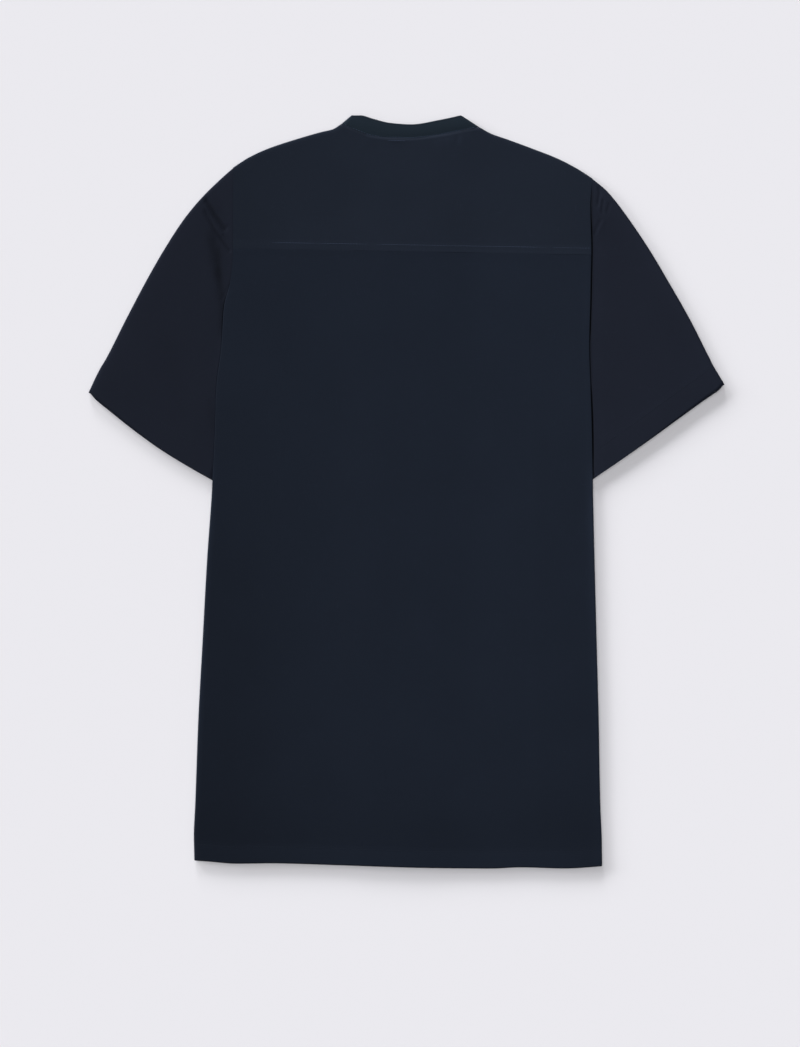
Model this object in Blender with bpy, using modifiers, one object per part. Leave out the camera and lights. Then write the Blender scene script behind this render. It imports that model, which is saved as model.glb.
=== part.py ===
"""Short-sleeved shirt with a mandarin collar, laid flat on its front.

The back of the shirt is on top. Both sides of the body are turned under, so at the sides four
layers of cloth lie on each other: the strips that are turned under, the fronts and the back.
Under the body's edges the sleeves run in to their armholes. Each piece of cloth is an open
surface through named sections, and Solidify gives it its wall.

Lengths in the tables are millimetres. X is the width, Y runs from the hem to the collar and
Z is up. The origin is in the middle of the shirt, on the surface that it lies on.
"""

import math

import bmesh
import bpy
import numpy as np

MM = 0.001

# Cloth
WALL = 1.0               # thickness of one layer
GAP = 0.3                # between two layers, and between two pieces at a seam
PLY = WALL + GAP         # from one layer to the next
BAND_WALL = 1.5          # the collar band is two layers with a stiffener

# Heights of the layers, at the middle of each wall
FLOOR_LAYER = WALL / 2
SECOND_LAYER = FLOOR_LAYER + PLY
FRONT_OVER = SECOND_LAYER + PLY       # a front, where two layers lie under it
BACK_OVER = FRONT_OVER + PLY          # the back and the yoke
PLACKET_LAYER = 2.5                   # the placket lies on its buttons
LAP_LAYER = PLACKET_LAYER + PLY       # the right front's edge, above the placket
BACK_CREST = LAP_LAYER + PLY          # the back, above the lap

# Lengthwise sizes
SEAM_LEFT = 251.4        # yoke seam at the left armhole
SEAM_RIGHT = 244.8       # yoke seam at the right edge
STRIP_TOP = 0.0          # where a strip that is turned under starts, at the body's fold
ROLL_START = 9.0         # just above it, where the body's edge only rolls down over the sleeve
FLAP = 24.0              # the yoke's depth in front of the shoulder fold
NECK_FRONT = 289.0       # centre front of the neckline
CENTRE_AT_NECK = 4.0     # the centre front line passes here at the neckline
CENTRE_LEAN = 0.016      # and leans this much for each millimetre down

# Widths
PLACKET_WIDTH = 30.0
LAP = 13.0               # the right front reaches this far past the centre
LAP_EASE = 2.0           # and stays up this far past the placket
PLACKET_RISE = 30.0      # over this width a front rises to the placket
CREST_HALF = 20.0        # the back is highest this far to both sides of the centre
CREST_END = 75.0         # and has come down to the fronts here
SHOULDER_ROOM = 9.0      # a front stays up this far past the layers under it
SLOPE = 24.0             # and then comes down to the surface over this width
LEAST_UNDER = 20.0       # a front's columns leave at least this much beside the edge

# Buttons
BUTTON_COUNT = 7
BUTTON_RADIUS = 5.5
BUTTON_DEPTH = 1.6
BUTTON_SIDES = 20
BUTTON_RIM = 0.3
BUTTON_FLOOR = 0.05
BUTTON_FIRST = 264.0
BUTTON_SPACING = 92.0

NAVY = (0.0122, 0.0160, 0.0252)
NAVY_BAND = (0.0144, 0.0198, 0.0284)
BUTTON_NAVY = (0.0090, 0.0110, 0.0165)
CLOTH_ROUGHNESS = 0.85
BUTTON_ROUGHNESS = 0.35


def table(columns, *rows):
    """A short table: each column's name, with its numbers from the rows."""
    return dict(zip(columns.split(), np.array(rows, float).T))


# The body's edges, and how far the layers under each edge reach in from it: the sleeve's tucked
# end above the underarm (height 107), the strip that is turned under below it.
SIDES = table(
    "height  left    right  under_left under_right",
    (325.0, -179.6, 192.0, 0.0, 0.0),
    (312.0, -179.6, 191.5, 0.0, 0.0),
    (295.0, -179.6, 190.5, 0.0, 0.0),
    (250.0, -179.6, 191.4, 0.0, 17.0),
    (219.0, -182.0, 190.9, 0.0, 27.0),
    (190.0, -189.4, 190.3, 0.0, 35.0),
    (150.0, -192.0, 189.3, 30.0, 47.0),
    (107.0, -197.2, 190.7, 61.0, 62.0),
    (60.0, -198.8, 192.1, 64.0, 64.0),
    (0.0, -201.8, 193.0, 66.0, 66.0),
    (-71.0, -206.8, 194.6, 69.0, 70.0),
    (-154.0, -211.4, 196.7, 72.0, 74.0),
    (-237.0, -215.9, 198.9, 75.0, 78.0),
    (-320.0, -218.9, 200.4, 77.0, 82.0),
    (-361.0, -220.5, 202.0, 78.0, 84.0),
    (-392.0, -220.0, 202.4, 79.0, 86.0),
)

HEM = table(
    "across  height",
    (-221.0, -381.8),
    (-206.0, -382.9),
    (-175.0, -385.2),
    (-141.0, -384.8),
    (-69.0, -386.8),
    (25.0, -389.6),
    (86.0, -390.2),
    (118.0, -389.0),
    (164.0, -390.1),
    (195.0, -388.4),
    (203.0, -387.6),
)

# The fold over each shoulder, from the armhole to the collar band.
SHOULDER_LEFT = table(
    "across  height",
    (-179.6, 335.4),
    (-164.0, 345.6),
    (-144.0, 354.9),
    (-116.0, 364.3),
    (-88.0, 372.4),
    (-76.5, 375.1),
    (-66.7, 381.5),
)
SHOULDER_RIGHT = table(
    "across  height",
    (192.0, 324.3),
    (177.0, 334.0),
    (156.0, 344.9),
    (133.0, 354.0),
    (104.0, 364.7),
    (87.0, 370.7),
    (74.2, 378.0),
)

# The fold along the top of each sleeve, from the shoulder to the cuff.
SLEEVE_TOP_LEFT = table(
    "across  height",
    (-179.6, 335.4),
    (-193.3, 323.6),
    (-215.0, 302.0),
    (-231.8, 281.3),
    (-252.0, 250.2),
    (-269.8, 219.1),
    (-291.6, 177.7),
    (-312.7, 136.2),
    (-319.0, 126.0),
    (-330.0, 102.5),
)
SLEEVE_TOP_RIGHT = table(
    "across  height",
    (192.0, 324.3),
    (206.6, 312.4),
    (215.8, 302.0),
    (231.2, 281.3),
    (252.0, 250.2),
    (270.5, 219.1),
    (294.1, 177.7),
    (315.2, 136.2),
    (329.5, 110.9),
)

# The collar band: where it is sewn to the neckline, and its free edge. The rows go from the
# centre front over the left side fold and the back to the right side fold and the centre front.
BAND = table(
    "seam_x  seam_y  seam_z  top_x   top_y  top_z",
    (2.4, 289.0, 2.3, 2.4, 305.5, 2.1),
    (-26.0, 296.5, 1.4, -18.2, 312.0, 1.2),
    (-48.0, 315.0, 0.75, -34.5, 326.5, 0.75),
    (-61.0, 340.0, 0.75, -44.5, 346.5, 0.75),
    (-66.3, 361.0, 0.75, -49.0, 365.5, 0.75),
    (-65.1, 379.7, 0.75, -55.9, 387.9, 0.75),
    (-66.2, 381.0, 2.6, -57.0, 388.8, 2.3),
    (-64.6, 379.6, 4.45, -56.0, 389.0, 3.8),
    (-50.0, 373.0, 4.9, -47.2, 389.1, 4.0),
    (-36.0, 368.2, 5.0, -34.8, 385.6, 4.2),
    (-17.0, 366.2, 5.0, -17.0, 381.3, 4.4),
    (4.0, 365.7, 5.0, 4.6, 379.8, 4.4),
    (34.8, 369.4, 5.0, 32.5, 384.1, 4.2),
    (60.0, 374.4, 4.8, 48.5, 387.4, 4.0),
    (72.2, 376.7, 4.45, 55.7, 388.9, 3.8),
    (73.7, 377.5, 2.6, 57.2, 388.3, 2.3),
    (72.3, 376.4, 0.75, 56.6, 386.9, 0.75),
    (72.8, 359.0, 0.75, 55.4, 363.0, 0.75),
    (68.0, 338.0, 0.75, 51.3, 344.5, 0.75),
    (55.0, 314.0, 0.75, 41.4, 325.5, 0.75),
    (33.5, 296.5, 1.4, 25.8, 312.0, 1.2),
    (5.6, 289.0, 2.3, 5.6, 305.5, 2.1),
)
LEFT_FLAP = 4            # rows of BAND: where the yoke's flap ends on the left,
LEFT_BACK = 7            # where the back of the neckline starts,
RIGHT_BACK = 14          # where it ends,
RIGHT_FLAP = 17          # where the flap on the right ends,
LAST = 21                # and the end of the band on the right
BAND_STEP = 10.0         # longest step along the band's seam
FOLD_STEP = 4.0          # rows closer than this are the side folds, which get twice the points
BAND_COLUMNS = (0.0, 0.35, 0.7, 1.0)
BAND_CROWN = 0.5         # the back of the band bulges this much,
CROWN_LEVELS = (3.0, 4.4)             # fully so above the second height
NECK_GAP = GAP + 0.1     # between the band and the cloth that it is sewn to
NECK_SLOPE = -0.9        # of the shoulder folds, at the band

# Each sleeve's cuff in plan, from its upper corner to its corner under the body.
CUFF_LEFT = table(
    "across  height",
    (-330.0, 102.5),
    (-319.4, 92.8),
    (-308.5, 84.0),
    (-283.0, 63.7),
    (-254.3, 43.0),
    (-220.4, 22.3),
    (-201.7, 11.9),
    (-172.8, -3.5),
)
CUFF_RIGHT = table(
    "across  height",
    (329.5, 110.9),
    (324.8, 106.2),
    (308.0, 94.4),
    (280.0, 74.1),
    (251.6, 53.4),
    (221.6, 32.3),
    (194.4, 13.6),
    (176.3, -0.3),
)

# Sleeves: the corners under the body, and the heights down the armhole that sections run through.
# Above "joined" a sleeve is level with the body, below "tucked" it lies under the body's edge.
# Between the heights of "front_up" the front rises from its seam to lie over the sleeve.
SLEEVES = {
    -1: dict(
        side=-1,
        fold=SLEEVE_TOP_LEFT,
        cuff_line=CUFF_LEFT,
        cuff=(-172.8, -3.5),
        underarm=(-136.2, 107.2),
        armhole=(335.4, 300.0, 275.0, 250.0, 219.0, 190.0, 165.0, 148.0, 134.0, 120.0, 107.2),
        joined=219.0,
        tucked=190.0,
        front_up=(190.0, 219.0),
    ),
    1: dict(
        side=1,
        fold=SLEEVE_TOP_RIGHT,
        cuff_line=CUFF_RIGHT,
        cuff=(176.3, -0.3),
        underarm=(129.0, 109.2),
        armhole=(324.3, 318.0, 310.0, 295.0, 250.0, 219.0, 180.0, 158.0, 141.0, 125.0, 109.2),
        joined=319.0,
        tucked=309.0,
        front_up=(295.0, 302.0),
    ),
}
SHOULDERS = {-1: SHOULDER_LEFT, 1: SHOULDER_RIGHT}
SLEEVE_STEPS = (0.0, 0.03, 0.07, 0.12, 0.17, 0.22, 0.27, 0.33, 0.4, 0.5, 0.62, 0.75, 0.88, 1.0)
SLEEVE_CORNER = 0.1      # over this share its fold turns from the shoulder's direction
PUFF_CLEAR = 8.0         # a sleeve's upper layer starts to rise this far outside the body's edge
PUFF_REACH = 24.0        # and is level with the back from here on
JOINT_EASE = 0.1         # more than the gap, at the armholes and the shoulder seams

# The soft fold in the left sleeve, just outside its armhole
SLEEVE_FOLD = table(
    "across  height",
    (-207.0, 280.0),
    (-199.0, 240.0),
    (-193.5, 215.0),
    (-190.5, 192.0),
)
SLEEVE_FOLD_DEPTH = 1.3
SLEEVE_FOLD_WIDTH = 7.0
SLEEVE_FOLD_FADE = 20.0

# Where sections and columns run
BODY_ROWS = (
    -392.0, -372.0, -335.0, -290.0, -237.0, -180.0, -120.0, -60.0, STRIP_TOP, ROLL_START,
    40.0, 75.0, 107.0, 135.0, 165.0, 190.0, 205.0, 219.0, 235.0, 250.0,
)
BACK_COLUMNS = (0.0, 0.08, 0.17, 0.26, 0.34, 0.4, 0.45, 0.5, 0.55, 0.6, 0.66, 0.74, 0.83, 0.92, 1.0)
STRIP_COLUMNS = (0.33, 0.67, 1.0)      # shares of the way from the cuff to the side seam
YOKE_ROWS = (0.0, 0.25, 0.5, 0.7, 0.82, 0.9, 0.957, 1.0)
FRONT_BLEND = 219.0      # above it, a front's columns run to its shoulder seam and neckline
FRONT_ROWS = (0.2, 0.4, 0.6, 0.75, 0.85, 0.935, 1.0)
PLACKET_COLUMNS = (-0.5, -0.25, 0.0, 0.25, 0.5)
PLACKET_END = 20.0       # no section of the placket is this near its upper end
HEM_REACH = 60.0         # the hem's curve fades out over this height
STRIP_CLEAR = 1.5        # a strip stops this far from the sleeve
TURN_EASE = 1.6          # a front's edge steps back this much where its strip ends,
TURN_EASE_REACH = 30.0   # fading out over this height
ARMHOLE_NEAR = (3.0, 18.0)            # a shoulder fold follows the armhole up to here
TURN_POINTS = 5          # points round a folded edge
PLAIN_TURN = 1.2         # an edge that hardly curls has its points over this many radii
ROLL_RADIUS = 1.5
BACK_TURN = (BACK_OVER - FLOOR_LAYER) / 2
FRONT_TURN = (FRONT_OVER - SECOND_LAYER) / 2
MERGE = 0.02             # points of two grids closer than this are one


def smooth(at, stations, values):
    """Values on a cubic curve through the stations, which never swings past them.

    The stations may rise or fall. The slope at each one is the harmonic mean of its neighbours'.
    """
    stations, values = np.asarray(stations, float), np.asarray(values, float)
    if stations[0] > stations[-1]:
        stations, values = stations[::-1], values[::-1]
    at = np.clip(at, stations[0], stations[-1])
    chord = np.diff(values) / np.diff(stations)
    product = chord[:-1] * chord[1:]
    inner = np.where(product > 0, 2 * product / np.where(product > 0, chord[:-1] + chord[1:], 1), 0)
    slope = np.concatenate([chord[:1], inner, chord[-1:]])
    i = np.clip(np.searchsorted(stations, at) - 1, 0, len(stations) - 2)
    span = stations[i + 1] - stations[i]
    t = (at - stations[i]) / span
    start = (1 + 2 * t) * (1 - t) ** 2 * values[i] + t * (1 - t) ** 2 * span * slope[i]
    end = t * t * (3 - 2 * t) * values[i + 1] + t * t * (t - 1) * span * slope[i + 1]
    return start + end


def ease(value, low, high):
    """0 at or before low, 1 at or past high, and a soft step between."""
    t = np.clip((value - low) / (high - low), 0.0, 1.0)
    return t * t * (3 - 2 * t)


def lengths(points):
    """The length along a line of points, at each point."""
    steps = np.linalg.norm(np.diff(points, axis=0), axis=1)
    return np.concatenate([[0.0], np.cumsum(steps)])


def unit(vectors):
    return vectors / np.linalg.norm(vectors, axis=-1, keepdims=True)


def edge(height, side):
    return smooth(height, SIDES["height"], SIDES["left" if side < 0 else "right"])


def under(height, side):
    """How far in from the body's edge the layers under it reach."""
    return smooth(height, SIDES["height"], SIDES["under_left" if side < 0 else "under_right"])


def hem(across):
    return smooth(across, HEM["across"], HEM["height"])


def centre(height):
    """The centre front line, which leans a little with the body."""
    return CENTRE_AT_NECK - CENTRE_LEAN * (NECK_FRONT - height)


def yoke_seam(across):
    left, right = (float(edge(SEAM_LEFT, side)) for side in (-1, 1))
    return SEAM_LEFT + (SEAM_RIGHT - SEAM_LEFT) * (across - left) / (right - left)


def back_height(across, height):
    """The back rests on the turned-under sides, and on the lap along the centre."""
    off_centre = np.abs(across - centre(height))
    return BACK_OVER + (BACK_CREST - BACK_OVER) * (1 - ease(off_centre, CREST_HALF, CREST_END))


def half_placket(side):
    """How far from the centre a front is level with the placket or the lap."""
    return PLACKET_WIDTH / 2 + (GAP if side < 0 else LAP_EASE)


def front_height(across, height, side):
    """A front lies over the layers at the side and comes down to the surface past them."""
    inward = side * (edge(height, side) - across)
    past = inward - under(height, side)
    up = 1 - ease(height, *SLEEVES[side]["front_up"])
    over_side = (FRONT_OVER - FLOOR_LAYER) * up * (1 - ease(past, SHOULDER_ROOM, SHOULDER_ROOM + SLOPE))
    top = PLACKET_LAYER if side < 0 else LAP_LAYER
    half = half_placket(side)
    to_centre = side * (across - centre(height))
    at_centre = (top - FLOOR_LAYER) * (1 - ease(to_centre, half, half + PLACKET_RISE))
    return FLOOR_LAYER + over_side + at_centre


def curled_edge(height, side, level, inset, angle, radius):
    """The end of a section that curls down at the body's edge, from its flat part outwards."""
    s = np.linspace(0.0, radius * max(angle, PLAIN_TURN), TURN_POINTS)
    out, down = s, 0 * s
    if angle > 1e-6:
        bend = angle / s[-1]
        out, down = np.sin(bend * s) / bend, (1 - np.cos(bend * s)) / bend
    x = edge(height, side) - side * (inset + out.max() - out)
    return np.column_stack([x, np.full_like(x, height), level - down])


def curl_share(height, side):
    """0 where a panel is sewn to its sleeve, 1 where its edge lies free over the sleeve."""
    sleeve = SLEEVES[side]
    return 1 - float(ease(height, sleeve["tucked"], sleeve["joined"]))


def back_edge(height, side, level):
    """The back's edge: half a turn where a strip is turned under, a quarter over a sleeve."""
    if height <= STRIP_TOP:
        return curled_edge(height, side, level, WALL / 2, math.pi, BACK_TURN)
    share = curl_share(height, side)
    inset = GAP / 2 + (WALL - GAP) / 2 * share
    return curled_edge(height, side, level, inset, math.pi / 2 * share, ROLL_RADIUS)


def front_edge(height, side, level):
    """A front's edge: half a turn inside the back's, or plain, just inside it."""
    if height <= STRIP_TOP:
        return curled_edge(height, side, level, WALL / 2 + PLY, math.pi, FRONT_TURN)
    step_back = TURN_EASE * (1 - float(ease(abs(height - ROLL_START), 0.0, TURN_EASE_REACH)))
    inset = GAP / 2 + PLY * curl_share(height, side) + step_back
    return curled_edge(height, side, level, inset, 0.0, FRONT_TURN)


def finish(name, colour, roughness):
    material = bpy.data.materials.new(name)
    material.use_nodes = True
    shader = material.node_tree.nodes["Principled BSDF"]
    shader.inputs["Base Color"].default_value = (*colour, 1.0)
    shader.inputs["Roughness"].default_value = roughness
    shader.inputs["Metallic"].default_value = 0.0
    return material


def cloth(name, patches, wall, colour, collection):
    """One piece of cloth: grids of points joined where they meet, with a wall around them."""
    work = bmesh.new()
    for patch in patches:
        points = np.asarray(patch, float) * MM
        rows, columns = points.shape[:2]
        verts = [work.verts.new(point) for point in points.reshape(-1, 3)]
        for r in range(rows - 1):
            for c in range(columns - 1):
                a = r * columns + c
                work.faces.new((verts[a], verts[a + 1], verts[a + columns + 1], verts[a + columns]))
    bmesh.ops.remove_doubles(work, verts=work.verts, dist=MERGE * MM)
    bmesh.ops.recalc_face_normals(work, faces=work.faces)
    mesh = bpy.data.meshes.new(name)
    work.to_mesh(mesh)
    work.free()
    mesh.materials.append(finish(name, colour, CLOTH_ROUGHNESS))
    piece = bpy.data.objects.new(name, mesh)
    collection.objects.link(piece)
    solid = piece.modifiers.new("Wall", "SOLIDIFY")
    solid.thickness = wall * MM
    solid.offset = 0.0
    solid.use_even_offset = True
    solid.use_quality_normals = True
    return piece


def drop_to_hem(patch):
    """Moves the lowest sections so that the panel's lower end follows the hem."""
    patch = np.array(patch, float)
    lowest = patch[..., 1].min()
    pull = 1 - ease(patch[..., 1], lowest, lowest + HEM_REACH)
    patch[..., 1] += (hem(patch[..., 0]) - lowest) * pull
    return patch


def strip(side, level):
    """The part of a panel that is turned under, from the fold in to the side seam.

    Its upper end runs below the tucked cuff and then up along the sleeve's underarm edge.
    """
    away = (-side * STRIP_CLEAR, -STRIP_CLEAR)
    cuff = np.array(SLEEVES[side]["cuff"]) + away
    underarm = np.array(SLEEVES[side]["underarm"]) + away
    heights = np.array([h for h in BODY_ROWS if h <= STRIP_TOP])
    lowest = heights[0]
    fold_reach = WALL / 2 + BACK_TURN
    fold_x = edge(STRIP_TOP, side) - side * fold_reach
    cuff_share = (cuff[0] - fold_x) / (underarm[0] - fold_x)
    columns = []
    for share in (0.0, cuff_share, *(cuff_share + (1 - cuff_share) * np.array(STRIP_COLUMNS))):
        x_top = fold_x + (underarm[0] - fold_x) * share
        if share <= cuff_share:
            top = STRIP_TOP + (cuff[1] - STRIP_TOP) * (x_top - fold_x) / (cuff[0] - fold_x)
        else:
            along = (x_top - cuff[0]) / (underarm[0] - cuff[0])
            top = cuff[1] + (underarm[1] - cuff[1]) * along
        y = lowest + (heights - lowest) * (top - lowest) / (STRIP_TOP - lowest)
        reach = fold_reach * (1 - share) + under(y, side) * share
        columns.append(np.column_stack([edge(y, side) - side * reach, y, np.full_like(y, level)]))
    return np.stack(columns, axis=1)


def make_back(collection):
    sections = []
    for height in BODY_ROWS:
        left, right = (back_edge(height, side, BACK_OVER) for side in (-1, 1))
        x = left[0, 0] + (right[0, 0] - left[0, 0]) * np.array(BACK_COLUMNS)
        middle = np.column_stack([x, np.full_like(x, height), back_height(x, height)])
        sections.append(np.concatenate([left[::-1], middle[1:-1], right]))
    main = np.stack(sections)
    to_seam = ease(main[..., 1], BODY_ROWS[-4], BODY_ROWS[-1])
    main[..., 1] += (yoke_seam(main[..., 0]) - GAP / 2 - BODY_ROWS[-1]) * to_seam
    patches = [main, strip(-1, FLOOR_LAYER), strip(1, FLOOR_LAYER)]
    return cloth("back", [drop_to_hem(patch) for patch in patches], WALL, NAVY, collection)


def band_lines():
    """The band's seam and free edge as points, and which point each row of BAND is."""
    seam, top = (np.column_stack([BAND[line + axis] for axis in "xyz"]) for line in ("seam_", "top_"))
    along = lengths(seam)
    stations, rows = [0.0], [0]
    for start, end in zip(along[:-1], along[1:]):
        count = max(2 if end - start < FOLD_STEP else 1, math.ceil((end - start) / BAND_STEP))
        stations.extend(np.linspace(start, end, count + 1)[1:])
        rows.append(len(stations) - 1)
    lines = [
        np.column_stack([smooth(stations, along, line[:, axis]) for axis in range(3)])
        for line in (seam, top)
    ]
    return lines[0], lines[1], rows


def neckline(first, last):
    """The cloth's edge along the band's seam between two rows of BAND, a gap from the band."""
    seam, top, rows = band_lines()
    line = seam.copy()
    line[:, :2] += unit(seam[:, :2] - top[:, :2]) * NECK_GAP
    return line[rows[first]:rows[last] + 1]


def make_band(collection):
    seam, top, _ = band_lines()
    columns = []
    for share in BAND_COLUMNS:
        line = seam + (top - seam) * share
        line[:, 2] += BAND_CROWN * math.sin(math.pi * share) * ease(line[:, 2], *CROWN_LEVELS)
        columns.append(line)
    return cloth("collar_band", [np.stack(columns, axis=1)], BAND_WALL, NAVY_BAND, collection)


def shoulder_fold(side):
    """The yoke over one shoulder: rows of points round the fold, then down the flap in front.

    The columns run from the armhole, where the first ones match the body's curled edge, to the
    collar band, where the last one follows the band's seam.
    """
    outline = SHOULDERS[side]
    armhole_x = float(edge(outline["height"][0], side))
    curl = armhole_x - side * (GAP / 2 + np.linspace(0.0, ROLL_RADIUS * PLAIN_TURN, TURN_POINTS))
    x = np.concatenate([curl if side > 0 else curl[:1], outline["across"][1:]])
    y = smooth(x, outline["across"], outline["height"])
    slope = smooth(x + 1, outline["across"], outline["height"]) - y
    slope *= ease(abs(x - armhole_x), *ARMHOLE_NEAR)
    slope[-2:] = side * NECK_SLOPE
    normal = unit(np.column_stack([-slope, np.ones_like(slope)]))
    inner = np.column_stack([x, y]) - normal * (WALL / 2 + BACK_TURN)
    rows = []
    for angle in np.linspace(0.0, math.pi, TURN_POINTS):
        plan = inner + normal * BACK_TURN * math.sin(angle)
        level = FLOOR_LAYER + BACK_TURN * (1 + math.cos(angle))
        rows.append(np.column_stack([plan, np.full(len(plan), level)]))
    for depth in (FLAP / 2, FLAP):
        plan = inner - (0.0, depth - BACK_TURN)
        rows.append(np.column_stack([plan, np.full(len(plan), FLOOR_LAYER)]))
    rows = np.stack(rows)
    near_armhole = 1 - ease(abs(rows[..., 0] - armhole_x), *ARMHOLE_NEAR)
    rows[..., 0] += (edge(rows[..., 1], side) - armhole_x) * near_armhole
    neck = neckline(LEFT_FLAP, LEFT_BACK)[::-1] if side < 0 else neckline(RIGHT_BACK, RIGHT_FLAP)
    along = lengths(neck)
    arc = math.pi * BACK_TURN
    at = np.concatenate([np.linspace(0.0, arc, TURN_POINTS), [(arc + along[-1]) / 2, along[-1]]])
    for axis in range(3):
        rows[:, -1, axis] = np.interp(at, along, neck[:, axis])
    return rows


def make_yoke(collection):
    """The yoke's back from the seam up, and its two shoulder folds."""
    left, right = shoulder_fold(-1), shoulder_fold(1)
    neck = neckline(LEFT_BACK, RIGHT_BACK)
    right_inner = right[0, TURN_POINTS:-1][::-1]
    ends = np.concatenate([left[0, :-1], neck, right_inner, right[0, :TURN_POINTS][::-1]])
    sections = []
    for share in YOKE_ROWS:
        low = yoke_seam(ends[:, 0]) + GAP / 2
        section = ends.copy()
        section[:, 1] = low + (ends[:, 1] - low) * share
        resting = back_height(section[:, 0], section[:, 1])
        section[:, 2] = resting + (ends[:, 2] - resting) * ease(share, 0.5, 1.0)
        section[0, 0] = edge(section[0, 1], -1) + GAP / 2
        curl = back_edge(section[-1, 1], 1, BACK_OVER)
        section[-TURN_POINTS:, 0] = curl[:, 0]
        section[-TURN_POINTS:, 2] = curl[:, 2]
        sections.append(section)
    main = np.stack(sections)
    left[0] = main[-1, :left.shape[1]]
    right[0] = main[-1, -right.shape[1]:][::-1]
    return cloth("yoke", [main, left, right], WALL, NAVY, collection)


def neck_part(side):
    """A front's neckline, from its shoulder seam to the centre."""
    if side < 0:
        line = neckline(0, LEFT_FLAP)[::-1]
        stop = float(centre(NECK_FRONT)) - half_placket(side)
    else:
        line = np.concatenate([neckline(RIGHT_FLAP, LAST), neckline(0, 1)])
        stop = float(centre(NECK_FRONT)) - LAP
    kept = line[side * (line[:, 0] - stop) > 1.0]
    order = np.argsort(line[:, 0])
    end = (stop, np.interp(stop, line[order, 0], line[order, 1]), 0.0)
    return np.vstack([kept, end])


def front_columns(y, side):
    """Across a front at one height: its columns at the edge, the slopes and the centre.

    The places are spread over the columns, so that some fall on every slope's start and end.
    """
    count = len(y)
    level_end = side * half_placket(side)
    past = edge(y, side) - side * (np.maximum(under(y, side), LEAST_UNDER) + SHOULDER_ROOM)
    start = np.full(count, front_edge(float(y[0]), side, 0.0)[0, 0])
    rise = centre(y) + level_end + side * PLACKET_RISE
    places = [start, past, past - side * SLOPE, rise, centre(y) + level_end]
    last = count - 1 if side < 0 else count - 2
    marks = [0, 3, 7, last - 4, last]
    if side > 0:
        marks.append(count - 1)
        places.append(centre(y) - LAP)
    return np.array([np.interp(k, marks, [place[k] for place in places]) for k in range(count)])


def front_panel(side):
    """A front: its curled edge, and columns from there to the centre."""
    curl_count = TURN_POINTS if side > 0 else 1
    shoulder = shoulder_fold(side)[-1, curl_count - 1:-1] - (0.0, GAP + JOINT_EASE, 0.0)
    neck = neck_part(side)
    neck[0, 1] -= GAP
    top = np.concatenate([shoulder, neck])
    sections = []
    rows = [(h, 0.0) for h in BODY_ROWS if h <= FRONT_BLEND] + [(FRONT_BLEND, s) for s in FRONT_ROWS]
    for height, share in rows:
        y = height + (top[:, 1] - height) * share
        low = front_columns(y, side)
        x = low + (top[:, 0] - low) * share
        x[0] = low[0]
        section = np.column_stack([x, y, front_height(x, y, side)])
        curl = front_edge(float(y[0]), side, float(section[0, 2]))
        sections.append(np.concatenate([curl[::-1], section[1:]]))
    return np.stack(sections)


def make_front(side, collection):
    patches = [drop_to_hem(front_panel(side)), drop_to_hem(strip(side, SECOND_LAYER))]
    name = "front_left" if side < 0 else "front_right"
    return cloth(name, patches, WALL, NAVY, collection)


def make_placket(collection):
    """The strip with the buttonholes: flat on its buttons, from the hem to the neckline."""
    line = np.concatenate([neckline(LAST - 1, LAST), neckline(0, 1)])
    line = line[np.argsort(line[:, 0])]
    columns = []
    for share in PLACKET_COLUMNS:
        top_x = centre(NECK_FRONT) + share * PLACKET_WIDTH
        top = np.interp(top_x, line[:, 0], line[:, 1]) - GAP
        heights = np.array([h for h in BODY_ROWS if h < top - PLACKET_END] + [top])
        x = centre(heights) + share * PLACKET_WIDTH
        columns.append(np.column_stack([x, heights, np.full_like(x, PLACKET_LAYER)]))
    return cloth("placket", [drop_to_hem(np.stack(columns, axis=1))], WALL, NAVY, collection)


def make_button(number, collection):
    """A flat round button under the placket, with a rounded rim."""
    height = BUTTON_FIRST - BUTTON_SPACING * (number - 1)
    work = bmesh.new()
    bmesh.ops.create_cone(
        work, cap_ends=True, segments=BUTTON_SIDES, radius1=BUTTON_RADIUS * MM,
        radius2=BUTTON_RADIUS * MM, depth=BUTTON_DEPTH * MM,
    )
    name = f"button_{number}"
    mesh = bpy.data.meshes.new(name)
    work.to_mesh(mesh)
    work.free()
    mesh.materials.append(finish(name, BUTTON_NAVY, BUTTON_ROUGHNESS))
    button = bpy.data.objects.new(name, mesh)
    level = BUTTON_FLOOR + BUTTON_DEPTH / 2
    button.location = (float(centre(height)) * MM, height * MM, level * MM)
    collection.objects.link(button)
    rim = button.modifiers.new("Rim", "BEVEL")
    rim.width = BUTTON_RIM * MM
    rim.segments = 1
    return button


def resampled(line, shares):
    """Points of a table's line at shares of its length."""
    points = np.column_stack([line["across"], line["height"]])
    along = lengths(points)
    at = shares * along[-1]
    return np.column_stack([smooth(at, along, points[:, axis]) for axis in range(2)])


def sleeve_fold_line(sleeve, shares):
    """Points and outward normals along a sleeve's upper fold."""
    points = resampled(sleeve["fold"], shares)
    tangent = np.gradient(points, shares, axis=0)
    normal = unit(sleeve["side"] * np.column_stack([-tangent[:, 1], tangent[:, 0]]))
    turned = ease(shares, 0.0, SLEEVE_CORNER)[:, None]
    return points, unit(normal * turned + np.array([0.0, 1.0]) * (1 - turned))


def sleeve_trough(plan, side):
    """How deep the soft fold in the left sleeve is at each point."""
    if side > 0:
        return 0.0
    line, height = SLEEVE_FOLD["across"], SLEEVE_FOLD["height"]
    y = plan[..., 1]
    off = plan[..., 0] - smooth(y, height, line)
    reach = ease(y, height[-1] - SLEEVE_FOLD_FADE, height[-1])
    reach = reach * (1 - ease(y, height[0] - SLEEVE_FOLD_FADE, height[0] + SLEEVE_FOLD_FADE))
    return SLEEVE_FOLD_DEPTH * np.exp(-((off / SLEEVE_FOLD_WIDTH) ** 2)) * reach


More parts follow.
